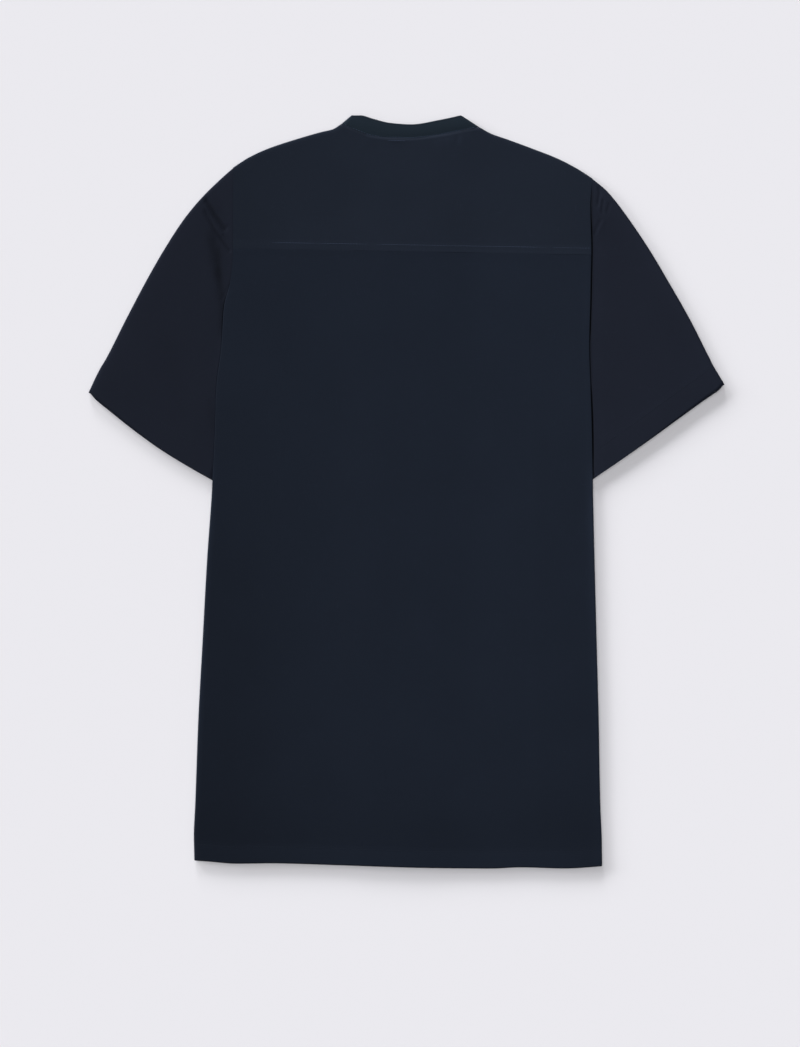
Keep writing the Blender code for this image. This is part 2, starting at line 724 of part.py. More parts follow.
def half_turn(line, normal, radius):
    """Rings of points round a folded edge, from its upper layer to its lower one."""
    rings = []
    for angle in np.linspace(0.0, math.pi, TURN_POINTS)[1:-1]:
        level = FLOOR_LAYER + radius * (1 + math.cos(angle))
        rings.append(np.hstack([line + normal * radius * math.sin(angle), level])[:, None])
    return rings


def make_sleeve(side, collection):
    """A flattened tube, from the armhole (rows first) to the cuff, open at both ends.

    Its plan blends from four lines: the fold, the underarm seam, the armhole and the cuff.
    """
    sleeve = SLEEVES[side]
    shares = np.array(SLEEVE_STEPS)
    fold, fold_normal = sleeve_fold_line(sleeve, shares)
    underarm, cuff = np.array(sleeve["underarm"]), np.array(sleeve["cuff"])
    seam = underarm + (cuff - underarm) * shares[:, None]
    direction = unit(cuff - underarm)
    seam_normal = -side * np.array([-direction[1], direction[0]])

    heights = np.array(sleeve["armhole"])
    joint = side * (GAP / 2 + JOINT_EASE)
    armhole = np.column_stack([edge(heights, side) - side * under(heights, side) + joint, heights])
    across = lengths(armhole) / lengths(armhole)[-1]

    joined = ease(heights, sleeve["tucked"], sleeve["joined"])
    fold_radius = np.full((len(shares), 1), BACK_TURN)
    seam_radius = np.full_like(fold_radius, FRONT_TURN)
    inner_fold = fold - fold_normal * (WALL / 2 + fold_radius)
    inner_seam = seam - seam_normal * (WALL / 2 + seam_radius)
    armhole[0], armhole[-1] = inner_fold[0], inner_seam[0]
    cuff_line = resampled(sleeve["cuff_line"], across)
    cuff_line[0], cuff_line[-1] = inner_fold[-1], inner_seam[-1]

    w = across[None, :, None]
    u = shares[:, None, None]
    straight = inner_fold[:, None] * (1 - w) + inner_seam[:, None] * w
    plan = straight + (1 - u) * (armhole - straight[0]) + u * (cuff_line - straight[-1])
    outside = side * (plan[..., 0] - edge(plan[..., 1], side))
    lift = (BACK_OVER - SECOND_LAYER) * np.maximum(joined, ease(outside, PUFF_CLEAR, PUFF_REACH))
    upper = np.maximum(SECOND_LAYER + lift - sleeve_trough(plan, side), SECOND_LAYER)
    upper[:, 0] = BACK_OVER
    upper[:, -1] = SECOND_LAYER
    top = np.dstack([plan, upper])
    bottom = np.dstack([plan, np.full_like(upper, FLOOR_LAYER)])
    around = [top, *half_turn(inner_seam, seam_normal, seam_radius), bottom[:, ::-1]]
    around += [*half_turn(inner_fold, fold_normal, fold_radius)[::-1], top[:, :1]]
    name = "sleeve_left" if side < 0 else "sleeve_right"
    return cloth(name, [np.concatenate(around, axis=1)], WALL, NAVY, collection)


def remove_everything():
    for thing in list(bpy.data.objects):
        bpy.data.objects.remove(thing, do_unlink=True)


def main():
    remove_everything()
    shirt = bpy.data.collections.new("mandarin_collar_shirt")
    bpy.context.scene.collection.children.link(shirt)
    make_back(shirt)
    make_yoke(shirt)
    make_placket(shirt)
    make_band(shirt)
    for side in (-1, 1):
        make_front(side, shirt)
        make_sleeve(side, shirt)
    for number in range(1, BUTTON_COUNT + 1):
        make_button(number, shirt)


if __name__ == "__main__":
    main()
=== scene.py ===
"""Dresses the solids of a short-sleeved shirt with a mandarin collar, laid flat on its front.

Each piece of cloth is a grid of points worked out with numpy from the same tables as the solids,
with its seams, creases and hems, and a thin wall. The sewing lies on the cloth as small stitches.
Lengths in the tables are millimetres; meshes and settings are in metres.
"""

import math
from functools import partial

import bpy
import numpy as np
from bpy.props import FloatProperty, FloatVectorProperty, PointerProperty
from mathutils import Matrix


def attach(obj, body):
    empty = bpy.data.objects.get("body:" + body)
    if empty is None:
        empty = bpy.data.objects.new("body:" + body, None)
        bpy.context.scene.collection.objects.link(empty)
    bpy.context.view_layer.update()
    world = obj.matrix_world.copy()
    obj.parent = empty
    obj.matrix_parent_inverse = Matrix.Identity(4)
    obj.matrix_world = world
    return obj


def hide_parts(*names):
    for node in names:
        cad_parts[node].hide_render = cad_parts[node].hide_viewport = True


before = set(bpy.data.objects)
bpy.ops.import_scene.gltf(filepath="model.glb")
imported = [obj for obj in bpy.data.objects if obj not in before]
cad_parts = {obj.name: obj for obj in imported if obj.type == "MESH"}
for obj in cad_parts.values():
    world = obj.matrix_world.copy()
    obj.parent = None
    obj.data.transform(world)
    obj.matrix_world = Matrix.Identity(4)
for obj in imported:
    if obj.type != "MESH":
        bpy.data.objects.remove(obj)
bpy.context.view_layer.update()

bl_info = {
    "name": "Mandarin Collar Shirt",
    "version": (1, 0, 0),
    "blender": (4, 5, 0),
    "location": "View3D > Sidebar > Shirt",
    "description": "Dresses the solids of a mandarin collar shirt in cloth, seams, stitches and buttons",
    "category": "Add Mesh",
}

MM = 0.001
NAMES = {-1: "left", 1: "right"}

# Layers, as in the solids
WALL = 1.0
GAP = 0.3
PLY = WALL + GAP
FLOOR_LAYER = WALL / 2
SECOND_LAYER = FLOOR_LAYER + PLY
FRONT_OVER = SECOND_LAYER + PLY
BACK_OVER = FRONT_OVER + PLY
PLACKET_LAYER = 2.5
LAP_LAYER = PLACKET_LAYER + PLY
BACK_CREST = LAP_LAYER + PLY
BACK_TURN = (BACK_OVER - FLOOR_LAYER) / 2
FRONT_TURN = (FRONT_OVER - SECOND_LAYER) / 2

# Lengthwise sizes and widths, as in the solids
SEAM_LEFT, SEAM_RIGHT = 251.4, 244.8
STRIP_TOP, ROLL_START = 0.0, 9.0
FLAP = 24.0
NECK_FRONT = 289.0
CENTRE_AT_NECK, CENTRE_LEAN = 4.0, 0.016
PLACKET_WIDTH, LAP, LAP_EASE, PLACKET_RISE = 30.0, 13.0, 2.0, 30.0
CREST_HALF, CREST_END = 20.0, 75.0
SHOULDER_ROOM, SLOPE, LEAST_UNDER = 9.0, 24.0, 20.0
HEM_REACH, STRIP_CLEAR = 60.0, 1.5
TURN_EASE, TURN_EASE_REACH = 1.6, 30.0
ARMHOLE_NEAR = (3.0, 18.0)
PLAIN_TURN, ROLL_RADIUS = 1.2, 0.55
JOINT_EASE = 0.1
FRONT_BLEND = 219.0
BUTTON_COUNT, BUTTON_FIRST, BUTTON_SPACING = 7, 264.0, 92.0
BUTTON_RADIUS, BUTTON_DEPTH, BUTTON_FLOOR = 5.5, 1.6, 0.05
HOLE_PLACE, HOLE_RADIUS, HOLE_DEPTH, HOLE_DENT = 1.05, 0.62, 0.7, 0.1

# Sewing
SEAM_GAP = 0.04          # sewn edges that show lie this close; in the solids they keep GAP
SEAM_EDGE = 0.15         # a row this close beside a sewn edge keeps its shading crisp
NECK_LIFT, NECK_LEVELS = 0.2, (3.0, 4.2)      # the cloth's rise at the band, where it lies this high
NECK_SLOPE, NECK_NEAR = -0.9, (-4.0, 6.0)     # of the shoulder's fold at the band, and how near it sets in
HEM_THICK, SEAM_THICK = 0.16, 0.14    # how much higher the cloth lies over a hem and the yoke's seam
HEM_EASE, SEAM_EASE, BELOW_SEAM = 2.0, (0.4, 2.2), 5.0    # how that fades past the stitches and below
HEM_GROOVE, YOKE_GROOVE = (0.08, 1.1), (0.08, 0.9)      # the groove at stitches: depth and half the width
PLACKET_GROOVE, BAND_GROOVE = (0.1, 0.8), (0.12, 0.8)
BAND_GROOVES = ((0.11, 1.0), (0.9, 0.6))      # shares of the band where grooves run, and how deep each is
HEM_PUCKERS = dict(height=0.03, pitch=8.5, slant=0.6, sway=3, bend=31, fade=6.0)
YOKE_PUCKERS = dict(height=0.035, pitch=11.0, slant=0, sway=4, bend=37, fade=7.0)
STITCH_IN = 1.0          # a hem's stitches lie this far inside its edge
STITCH_LIFT = 0.05       # and this high above the cloth
STITCH_DIP = 0.18        # how far a stitch's ends dip into it
PLACKET_STITCHES = 12.5  # from the placket's centre
BAND_STITCHES = (0.4, 13)     # columns of the band's grid where its two rows lie
BAND_WANDER = (0.16, 23, 22.0)        # how unevenly the lower row lies: height, seed and length of waves
YOKE_STITCHES = (-176.0, 189.0)
YOKE_SINK = (0.12, 21, 30.0)          # how unevenly they sink into the cloth
END_SINK, END_FROM = 0.3, (-152.0, -140.0)    # and how deep near the left end
YOKE_LIFT, TACK_LIFT = 0.06, 0.1
TACK_X, TACK_Y, TACK_SLOPE = (-19.4, -0.4), 363.2, -0.035     # the short row below the collar
PLACKET_ROWS = (-380.0, 282.0)        # where the placket's rows of stitches end
HEM_LEVEL, HEM_CLEAR = -372.0, 4.0    # the hem's row stops this far inside the edges at this height
CUFF_TRIM, CUFF_CLEAR = 3, 2.0        # columns left out at a cuff's ends, and its way from the body
HEM_POINTS, LINE_POINTS, TACK_POINTS = 400, 500, 30
SLEEVE_GRAIN = 33                     # degrees between a sleeve's grain and the body's
CURVED = (3.0, 4.3)      # relief starts where the cloth lies this high, above its turned edges
YOKE_RISE, YOKE_PLAIN = 0.5, 0.93     # from these shares it rises to the neck, and its relief fades

# The cloth's soft unevenness: its height, its seed and the length of its waves
BACK_RIPPLE = (0.07, 3, 120.0)
YOKE_RIPPLE = (0.06, 5, 110.0)
PLACKET_RIPPLE = (0.04, 9, 40.0)
SLEEVE_RIPPLE = {-1: (0.09, 10, 90.0), 1: (0.09, 12, 90.0)}
RIPPLE_WAVES = 7

# The key light is a wide, low one at the upper left: three lamps stand side by side for it.
KEY_TURNS = tuple(math.radians(220 + turn) for turn in (-30, 0, 30))

# The camera looks straight down at this place, and its view is this long at the cloth's height.
VIEW_CENTRE, VIEW_LENGTH, VIEW_HEIGHT, SENSOR = (-0.00695, -0.0332), 1.0836, 0.004, 36.0
FLOOR_HALF = 30          # metres from the middle of the floor to its edges

# Sizes of the patterns, in cells of noise or as a wave's scale: what each comes to is beside it
SLUB_CELLS = (90.0, 900.0)            # slubs about 11 mm long and 1.1 mm wide
SLUB_LEVELS = {"From Min": 0.66, "From Max": 0.8}     # only the thickest show
COTTON_CLOUDS, BOARD_CLOUDS = 14.0, 3.0       # patches of about 7 cm on the cloth and 30 cm on the floor
BUTTON_STREAKS = 300.0                # streaks of about 3 mm
TWIST_SCALE, WAVE_RADIANS = 700.0, 20         # turns of thread 0.45 mm apart; a wave has 20 radians a unit

# Fineness of the grids
TURN_POINTS = 9          # points round a folded edge
ROW_STEP = 4.0           # longest step between rows
COLUMN_STEP = 4.0        # and between columns
BACK_COLUMNS, PLACKET_COLUMNS, BAND_COLUMNS = 101, 17, 15
FRONT_MARKS = {-1: (0.0, 0.1, 0.38, 0.75, 1.0), 1: (0.0, 0.1, 0.36, 0.68, 0.88, 1.0)}
BLEND_ROWS, BLEND_LENGTH = 29, 24.0   # a front's rows and the placket's length that blend to the neck
SEAM_SHARE = 0.0015      # the yoke's first row lies this close to its seam
FINE_SHARE, FINE_ROWS, PLAIN_ROWS = 0.12, 12, 33        # and then come finer and plain rows
ARMHOLE_STEP, CREASE_STEP = 3.0, 1.3  # longest steps between a sleeve's columns
LOWEST, FINE_FROM, ROWS_TOP = -392.0, 235.0, 250.0    # the body's rows, before they meet hem and seam
HEM_FINE, HEM_STEPS, ROLL_STEP, FINE_STEP = 30.0, 1.5, 3.0, 1.2
STRIP_STEP, FLAP_STEP = 0.08, 3.0


def table(columns, *rows):
    """A short table: each column's name, with its numbers from the rows."""
    return dict(zip(columns.split(), np.array(rows, float).T))


# The body's edges, and how far the layers under each edge reach in from it.
SIDES = table(
    "height left right under_left under_right",
    (325, -179.6, 192, 0, 0),
    (312, -179.6, 191.5, 0, 0),
    (295, -179.6, 190.5, 0, 0),
    (250, -179.6, 191.4, 0, 17),
    (219, -182, 190.9, 0, 27),
    (190, -189.4, 190.3, 0, 35),
    (150, -192, 189.3, 30, 47),
    (107, -197.2, 190.7, 61, 62),
    (60, -198.8, 192.1, 64, 64),
    (0, -201.8, 193, 66, 66),
    (-71, -206.8, 194.6, 69, 70),
    (-154, -211.4, 196.7, 72, 74),
    (-237, -215.9, 198.9, 75, 78),
    (-320, -218.9, 200.4, 77, 82),
    (-361, -220.5, 202, 78, 84),
    (-392, -220, 202.4, 79, 86),
)
HEM = table(
    "across height",
    (-221, -381.8), (-206, -382.9), (-175, -385.2), (-141, -384.8), (-69, -386.8), (25, -389.6),
    (86, -390.2), (118, -389), (164, -390.1), (195, -388.4), (203, -387.6),
)

# The fold over each shoulder, from the armhole to the collar band.
SHOULDERS = {
    -1: table(
        "across height",
        (-179.6, 335.4), (-164, 345.6), (-144, 354.9), (-116, 364.3), (-88, 372.4), (-76.5, 375.1),
        (-66.7, 381.5),
    ),
    1: table(
        "across height",
        (192, 324.3), (177, 334), (156, 344.9), (133, 354), (104, 364.7), (87, 370.7), (74.2, 378),
    ),
}

# Each sleeve: points of the fold along its top and of its cuff from the upper corner inwards, the
# ends of its seam, the heights of its armhole's points, and those where it is joined to the body
# or tucked under its edge. front_up is where the front comes up to it from below.
SLEEVES = {
    -1: dict(
        fold=(
            (-179.6, 335.4), (-193.3, 323.6), (-215, 302), (-231.8, 281.3), (-252, 250.2), (-269.8, 219.1),
            (-291.6, 177.7), (-312.7, 136.2), (-319, 126), (-330, 102.5),
        ),
        cuff_line=(
            (-330, 102.5), (-319.4, 92.8), (-308.5, 84), (-283, 63.7), (-254.3, 43), (-220.4, 22.3),
            (-201.7, 11.9), (-172.8, -3.5),
        ),
        cuff=(-172.8, -3.5),
        underarm=(-136.2, 107.2),
        armhole=(335.4, 300, 275, 250, 219, 190, 165, 148, 134, 120, 107.2),
        joined=219,
        tucked=190,
        front_up=(190, 219),
    ),
    1: dict(
        fold=(
            (192, 324.3), (206.6, 312.4), (215.8, 302), (231.2, 281.3), (252, 250.2), (270.5, 219.1),
            (294.1, 177.7), (315.2, 136.2), (329.5, 110.9),
        ),
        cuff_line=(
            (329.5, 110.9), (324.8, 106.2), (308, 94.4), (280, 74.1), (251.6, 53.4), (221.6, 32.3),
            (194.4, 13.6), (176.3, -0.3),
        ),
        cuff=(176.3, -0.3),
        underarm=(129, 109.2),
        armhole=(324.3, 318, 310, 295, 250, 219, 180, 158, 141, 125, 109.2),
        joined=319,
        tucked=309,
        front_up=(295, 302),
    ),
}
SLEEVE_CORNER, CUFF_CORNER = 0.1, 0.06     # shares of the fold and of the cuff where their corners fade
FOLD_CLEAR = 1.2         # no column starts nearer to the fold than this
CREASED = {-1: (308.0, 236.0), 1: (320.0, 262.0)}     # heights with small creases need finer columns
FOLD_INSET = {-1: 1.0, 1: 0.9}        # the upper fold's cloth lies this far inside its outline
HEM_STEP = {-1: 0.2, 1: 0.4}          # and this much further where the sleeve's hem starts
HEM_STARTS = (0.885, 0.9)             # at this share of the fold
SLEEVE_LEVEL = 4.2       # a sleeve lies this high just outside the body's edge
SLEEVE_FULL = {-1: 24.0, 1: 14.0}     # and level with the back from this far outside it
UNDER_EDGE = 3.35        # where no slot is open, it lies this high under the curled edge
UNDER_REACH = (-1.5, -0.3)            # from this far inside it
JOINT_FADE = (0.1, 0.3)  # shares of its length where the joint's height fades out
JOINED_BY = (1.0, 2.0)   # it is joined where it stands this much over the second layer
SEEN_FROM_SEAM, SEEN_FROM_EDGE = 6.0, 4.0     # its relief grows over these ways
SLEEVE_START = (-0.02, 0.95)          # it rises this far outside the edge, at a shut and an open slot,
SLEEVE_STEEP = (0.35, 0.7)            # and is up after this width
JOINT_DIP, JOINT_WIDTH = 0.1, 0.8     # depth and half the width of the dip along the armhole's seam
EDGE_STEPS = (
    -8.0, -4.0, -2.0, -1.5, -0.9, -0.3, -0.05, 0.1, 0.22, 0.36, 0.6, 0.9, 1.2, 1.5, 1.8, 2.1, 2.5, 3.1,
    *(4.0 + 1.2 * step for step in range(21)),
)                        # distances outside the edge where rows gather
INNER_ROWS, OUTER_ROWS = 8, 64        # of the sleeve's grid, before and after those
EVEN_ROWS = 0.04         # share of even steps in all its rows

# The collar band: points of the seam to the neckline, and of its free edge, from the centre front
# over the left side fold, the back and the right side fold to the centre front.
BAND = np.array((
    (2.4, 289, 2.3, 2.4, 305.5, 2.1),
    (-26, 296.5, 1.4, -18.2, 312, 1.2),
    (-48, 315, 0.75, -34.5, 326.5, 0.75),
    (-61, 340, 0.75, -44.5, 346.5, 0.75),
    (-66.3, 361, 0.75, -49, 365.5, 0.75),
    (-65.1, 379.7, 0.75, -55.9, 387.9, 0.75),
    (-66.2, 381, 2.6, -57, 388.8, 2.3),
    (-64.6, 379.6, 4.2, -56, 389, 3.8),
    (-50, 373, 4.2, -47.2, 389.1, 4),
    (-36, 368.2, 4.2, -34.8, 385.6, 4.1),
    (-17, 366.2, 4.2, -17, 381.3, 4.1),
    (4, 365.7, 4.2, 4.6, 379.8, 4.1),
    (34.8, 369.4, 4.2, 32.5, 384.1, 4.1),
    (60, 374.4, 4.2, 48.5, 387.4, 4),
    (72.2, 376.7, 4.2, 55.7, 388.9, 3.8),
    (73.7, 377.5, 2.6, 57.2, 388.3, 2.3),
    (72.3, 376.4, 0.75, 56.6, 386.9, 0.75),
    (72.8, 359, 0.75, 55.4, 363, 0.75),
    (68, 338, 0.75, 51.3, 344.5, 0.75),
    (55, 314, 0.75, 41.4, 325.5, 0.75),
    (33.5, 296.5, 1.4, 25.8, 312, 1.2),
    (5.6, 289, 2.3, 5.6, 305.5, 2.1),
))
LEFT_FLAP, LEFT_BACK, RIGHT_BACK, RIGHT_FLAP, LAST = 4, 7, 14, 17, 21
BAND_STEP = 2.5
BAND_WIDTH, BAND_CROWN, CROWN_LEVELS = 17.0, 0.4, (3.0, 4.4)
BAND_WALL = 1.2          # two layers of cloth with a stiffening

# How open the slot between the body's edge and each sleeve is, by height
SLOTS = {
    -1: table("height open", (235, 0), (206, 0), (197, 0.14), (186, 0.2), (165, 0.08), (148, 0), (40, 0)),
    1: table(
        "height open",
        (318, 0), (303, 0.4), (285, 0.7), (270, 1), (171, 1), (153, 0.55), (113, 0.55), (98, 1),
        (70, 1.2), (41, 1), (24, 0.6),
    ),
}

# Creases: points across and up, height of the ridge (or depth, below nought) and half its width.
SLEEVE_CREASES = {
    -1: (
        ((-200.5, 258), (-197, 243), (-194.6, 230), (-192.4, 215), (-190.2, 202), -0.26, 4.2),
        ((-207.4, 300.5), (-198.6, 286.5), (-188, 272), -0.85, 2.6),
        ((-208.4, 295), (-200.8, 280.5), (-191.5, 266.5), 0.35, 1.7),
        ((-208.8, 290.2), (-199.4, 272.4), (-189.6, 258.2), (-183.2, 249.5), -0.6, 1.8),
        ((-204, 301.5), (-195.5, 289), (-187, 277), 0.25, 2),
    ),
    1: (
        ((198.5, 316), (199.5, 307), (198.2, 298), -0.5, 1.5),
        ((203, 301), (202, 294), (201.8, 289.5), -0.4, 1.4),
        ((200.5, 304), (200, 292), 0.3, 1.5),
        ((210, 298), (208.5, 293), (207.2, 289.5), -0.35, 1.5),
        ((200.5, 279.5), (197, 273), (194.5, 267), -0.35, 1.4),
        ((203.6, 279.5), (200.5, 274), (198.2, 269), 0.3, 1.5),
    ),
}
YOKE_CREASES = (
    ((34.5, 363), (37, 356.5), 0.25, 1.2),
    ((41.5, 365.5), (45, 360), 0.3, 1.2),
    ((48.8, 371.5), (48.5, 363.5), 0.45, 1.2),
    ((51.5, 369), (52.5, 362), -0.3, 1.3),
    ((57, 369.5), (58, 361), 0.25, 1.5),
    ((-42, 364), (-45, 355), 0.15, 2),
    ((-30, 361.5), (-31, 353), -0.12, 2),
)
BACK_CREASES = (
    ((-184, -40), (-178, -180), (-176, -360), -0.12, 9),
    ((134, 60), (136, -150), (138, -360), 0.12, 8),
    ((-120, 236), (-118, 205), 0.06, 2),
    ((60, 238), (62, 200), -0.06, 2.5),
)

# Painted light and shade: how light the body's cloth is painted relative to its middle, darker to the left
# and towards the hem as the light falls off
SHADE_ACROSS = table(
    "across upper lower yoke",
    (-220, 0.93, 0.79, 0.86),
    (-172, 0.93, 0.8, 0.86),
    (-146, 0.94, 0.865, 0.89),
    (-120, 0.95, 0.93, 0.94),
    (-69, 0.98, 0.98, 0.97),
    (0, 1, 1, 1),
    (87, 1.045, 1.04, 1.01),
    (140, 1.05, 1.02, 1.02),
    (170, 1.07, 0.99, 1),
    (202, 1.06, 0.97, 0.98),
)
LOWER_FROM = (-230.0, 290.0)          # how far down the lower shades take over
# Painted shade by height: the cloth is painted darker towards the hem and lighter towards the yoke
SHADE_UP = table(
    "height shade",
    (-390, 0.86), (-372, 0.86), (-356, 0.86), (-320, 0.92), (-268, 0.965), (-200, 0.98), (-60, 1),
    (95, 1.025), (250, 1.045),
)
# Painted highlights: how much lighter the cloth is painted where it folds at its sides, over a width, and on
# the turn itself; below nought, painted shade
SIDE_LIGHT = table(
    "height left right",
    (190, 0, 0.1), (155, -0.06, 0.1), (50, -0.06, 0.1), (40, -0.05, 0.1), (7, 0.1, 0.4),
    (-30, 0.1, 0.6), (-71, 0.1, 0.42), (-112, 0.12, 0.4), (-154, 0.2, 0.34), (-216, 0.18, 0.32),
    (-299, 0.1, 0.24), (-390, 0.05, 0.15),
)
SIDE_LIGHT_WIDTH = {-1: 3.0, 1: 5.2}
FOLD_LIGHT, FOLD_LIGHT_WIDTH, FOLD_LIGHT_FROM = {-1: 0.15, 1: 0.6}, 1.5, 12.0

# Painted light and shade on the other pieces, shadows in their soft folds and highlights: points, share
# lighter or darker, half the width
SLEEVE_SHADES = {
    -1: (
        ((-202.5, 266), (-199, 248), (-197, 236), (-195.2, 225), -0.16, 6),
        ((-205, 296), (-196, 280), (-188, 266), -0.05, 6),
        ((-200, 292), (-195, 264), (-195, 242), -0.1, 8),
        ((-196, 229), (-193.6, 212), (-191.8, 195), (-191.4, 180), (-192, 168), -0.18, 3.8),
        ((-195, 250), (-194.2, 234), (-192.9, 218), (-191.4, 202), -0.13, 2.4),
        ((-204.5, 92), (-203, 78), (-200.4, 65), -0.1, 3.4),
        ((-185, 325), (-184, 258), 0.06, 12),
        ((-250, 150), (-240, 118), (-236, 90), -0.04, 14),
    ),
    1: (
        ((200, 300), (204, 262), -0.04, 10),
        ((203, 308), (203, 290), 0.07, 4),
    ),
}
YOKE_SHADES = (
    ((158, 249), (186, 248), 0.05, 9),
    ((32, 362), (55, 366.5), 0.08, 6.5),
    ((-56, 376), (-43, 370.4), -0.3, 1.7),
    ((46, 371.8), (58, 374.3), -0.14, 1.6),
    ((58, 374.3), (70, 376.6), -0.36, 1.8),
)
# Painted shade of a whole sleeve: the left one is painted darker, as the light falls off to the left
SLEEVE_SHADE = {-1: 0.855, 1: 0.985}      # of a whole sleeve
# Painted shade in the creases' troughs and painted highlight on their ridges
CREASE_SHADE = 0.32      # how much darker a trough 1 mm deep is, and how much lighter a ridge

# Narrow bands of painted shadow (the DARK ones) and painted highlight (the LIGHT ones): how much, and then
# half the width and the place of each
CREVICE_DARK, CREVICE_AT = 1.0, (1.4, 0.3)    # down in an open slot
RIM_DARK, RIM_AT = 0.5, (0.35, WALL / 2)      # on the rim of the back above it
SHUT_LIGHT, SHUT_AT = 0.9, (0.4, 0.18)        # at the left edge, below the soft fold
SHUT_FROM = (-170.0, -150.0)
TOP_LIGHT, TOP_LIGHT_AT = 0.06, (7.0, 4.0)    # along a sleeve's upper fold
YOKE_LIGHT, YOKE_LIGHT_AT = 0.04, (5.0, 3.0)  # above the yoke's seam
SEAM_LIGHT, SEAM_LIGHT_AT = 0.07, (0.9, 2.0)  # right beside it, from its middle to the right
SEAM_LIT = (-50.0, -10.0)
HEM_LIGHT, HEM_LIGHT_FADE = 0.09, (-3.0, 1.0)     # on the hem, up to its stitches


# ---------------------------------------------------------------- sizes, colours and the stage


def colour(hex_value):
    """Linear red, green and blue of an sRGB hex colour such as #1d222c."""
    parts = [int(hex_value[k:k + 2], 16) / 255 for k in (1, 3, 5)]
    return tuple(c / 12.92 if c <= 0.04045 else ((c + 0.055) / 1.055) ** 2.4 for c in parts)


def length(name, description, default, low, high):
    return FloatProperty(
        name=name, description=description, default=default, min=low, max=high, precision=5, unit="LENGTH")


def paint(name, description, hex_value):
    return FloatVectorProperty(
        name=name, description=description, default=colour(hex_value), min=0.0, max=1.0, subtype="COLOR")


def angle(name, description, degrees, most):
    return FloatProperty(
        name=name, description=description, default=math.radians(degrees), min=0.0, max=math.radians(most),
        subtype="ANGLE")


def strength(name, description, default):
    return FloatProperty(name=name, description=description, default=default, min=0.0)


class ShirtSizes(bpy.types.PropertyGroup):
    """Sizes of the cloth and its sewing."""

    cloth: length("Cloth thickness", "Thickness of one layer of cloth, with its air", 0.0009, 0.0003, 0.001)
    weave: length("Weave pitch", "From one thread to the next, coarse enough to show", 0.0009, 0.0002, 0.003)
    stitch: length("Stitch length", "Length of one stitch of the seams", 0.0023, 0.001, 0.006)
    stitch_gap: length("Stitch gap", "From one stitch to the next", 0.0007, 0.0002, 0.003)
    thread: length("Thread", "Thickness of the sewing thread", 0.0004, 0.0002, 0.001)
    hem: length("Hem depth", "Depth of the hem at the shirt's lower end", 0.0182, 0.005, 0.04)
    cuff: length("Sleeve hem depth", "Depth of the hem at each sleeve", 0.0245, 0.005, 0.04)
    seam: length("Yoke seam width", "From the yoke's seam up to its topstitching", 0.0068, 0.002, 0.01)


class ShirtColours(bpy.types.PropertyGroup):
    """Colours of the shirt."""

    cloth: paint("Cloth", "Navy of the shirt's cloth", "#181e29")
    yoke: paint("Yoke", "The same cloth, cut across the grain", "#1b212c")
    sleeve: paint("Sleeves", "The same cloth, cut along another grain", "#1b1f2a")
    band: paint("Collar band", "The same cloth, stiffened", "#1b242d")
    thread: paint("Thread", "Navy of the sewing thread", "#1b212c")
    # Painted highlight: the topstitching is painted a paler navy for the light that its stitches catch
    topstitch: paint("Topstitching", "Paler navy of the thread that shows", "#3e495f")
    button: paint("Buttons", "Navy of the buttons", "#191d27")


class StageSettings(bpy.types.PropertyGroup):
    """The floor, the lights and the camera."""

    floor: paint("Floor", "Colour of the pale floor", "#e7e6eb")
    key: strength("Key light", "Strength of the low key light", 6.0)
    key_height: angle("Key height", "Height of the key light above the floor", 13, 90)
    key_size: angle("Key size", "Angular width of the key light", 16, 180)
    top: strength("Top light", "Strength of the wide light overhead", 1.283)
    top_size: angle("Top size", "Angular width of the light overhead", 50, 180)
    fill: strength("Fill light", "Strength of the light all round", 0.2)
    lens: FloatProperty(name="Lens", description="Focal length in millimetres", default=85.0, min=20.0)


def size(name):
    """One of the user's sizes, in millimetres."""
    return getattr(bpy.context.scene.shirt_sizes, name) / MM


# ---------------------------------------------------------------- lines and grids


def smooth(at, stations, values):
    """A cubic curve through the stations whose slopes are harmonic means, so it never overshoots."""
    stations, values = np.asarray(stations, float), np.asarray(values, float)
    if stations[0] > stations[-1]:
        stations, values = stations[::-1], values[::-1]
    at = np.clip(at, stations[0], stations[-1])
    chord = np.diff(values) / np.diff(stations)
    product = chord[:-1] * chord[1:]
    inner = np.where(product > 0, 2 * product / np.where(product > 0, chord[:-1] + chord[1:], 1), 0)
    slope = np.concatenate([chord[:1], inner, chord[-1:]])
    i = np.clip(np.searchsorted(stations, at) - 1, 0, len(stations) - 2)
    span = stations[i + 1] - stations[i]
    t = (at - stations[i]) / span
    start = (1 + 2 * t) * (1 - t) ** 2 * values[i] + t * (1 - t) ** 2 * span * slope[i]
    end = t * t * (3 - 2 * t) * values[i + 1] + t * t * (t - 1) * span * slope[i + 1]
    return start + end


def read(rows, column, place):
    """A table's column where its first column has this value, on a smooth curve through the rows."""
    return smooth(place, next(iter(rows.values())), rows[column])


def follow(curve, at, along, line):
    """Points at distances along a line of points, on a curve through them."""
    return np.stack([curve(at, along, values) for values in line.T], axis=-1)


def ease(value, low, high):
    """0 at or before low, 1 at or past high, and the step 3t^2 - 2t^3 between."""
    t = np.clip((value - low) / (high - low), 0.0, 1.0)
    return t * t * (3 - 2 * t)


def bell(value, width, place=0.0):
    """1 at a place, and e to the minus square of the way over the width away from it."""
    return np.exp(-(((value - place) / width) ** 2))


def lengths(points):
    """The length along a line of points, at each point."""
    steps = np.linalg.norm(np.diff(points, axis=0), axis=1)
    return np.concatenate([[0.0], np.cumsum(steps)])


def unit(vectors):
    return vectors / np.linalg.norm(vectors, axis=-1, keepdims=True)


def spaced(stations, step):
    """The stations with equal steps between each two, none longer than step."""
    parts = [np.asarray(stations[:1], float)]
    for low, high in zip(stations[:-1], stations[1:]):
        count = max(1, math.ceil(abs(high - low) / step))
        parts.append(np.linspace(low, high, count + 1)[1:])
    return np.concatenate(parts)


def extended(rows, end, step):
    return np.concatenate([rows, spaced((rows[-1], end), step)[1:]])


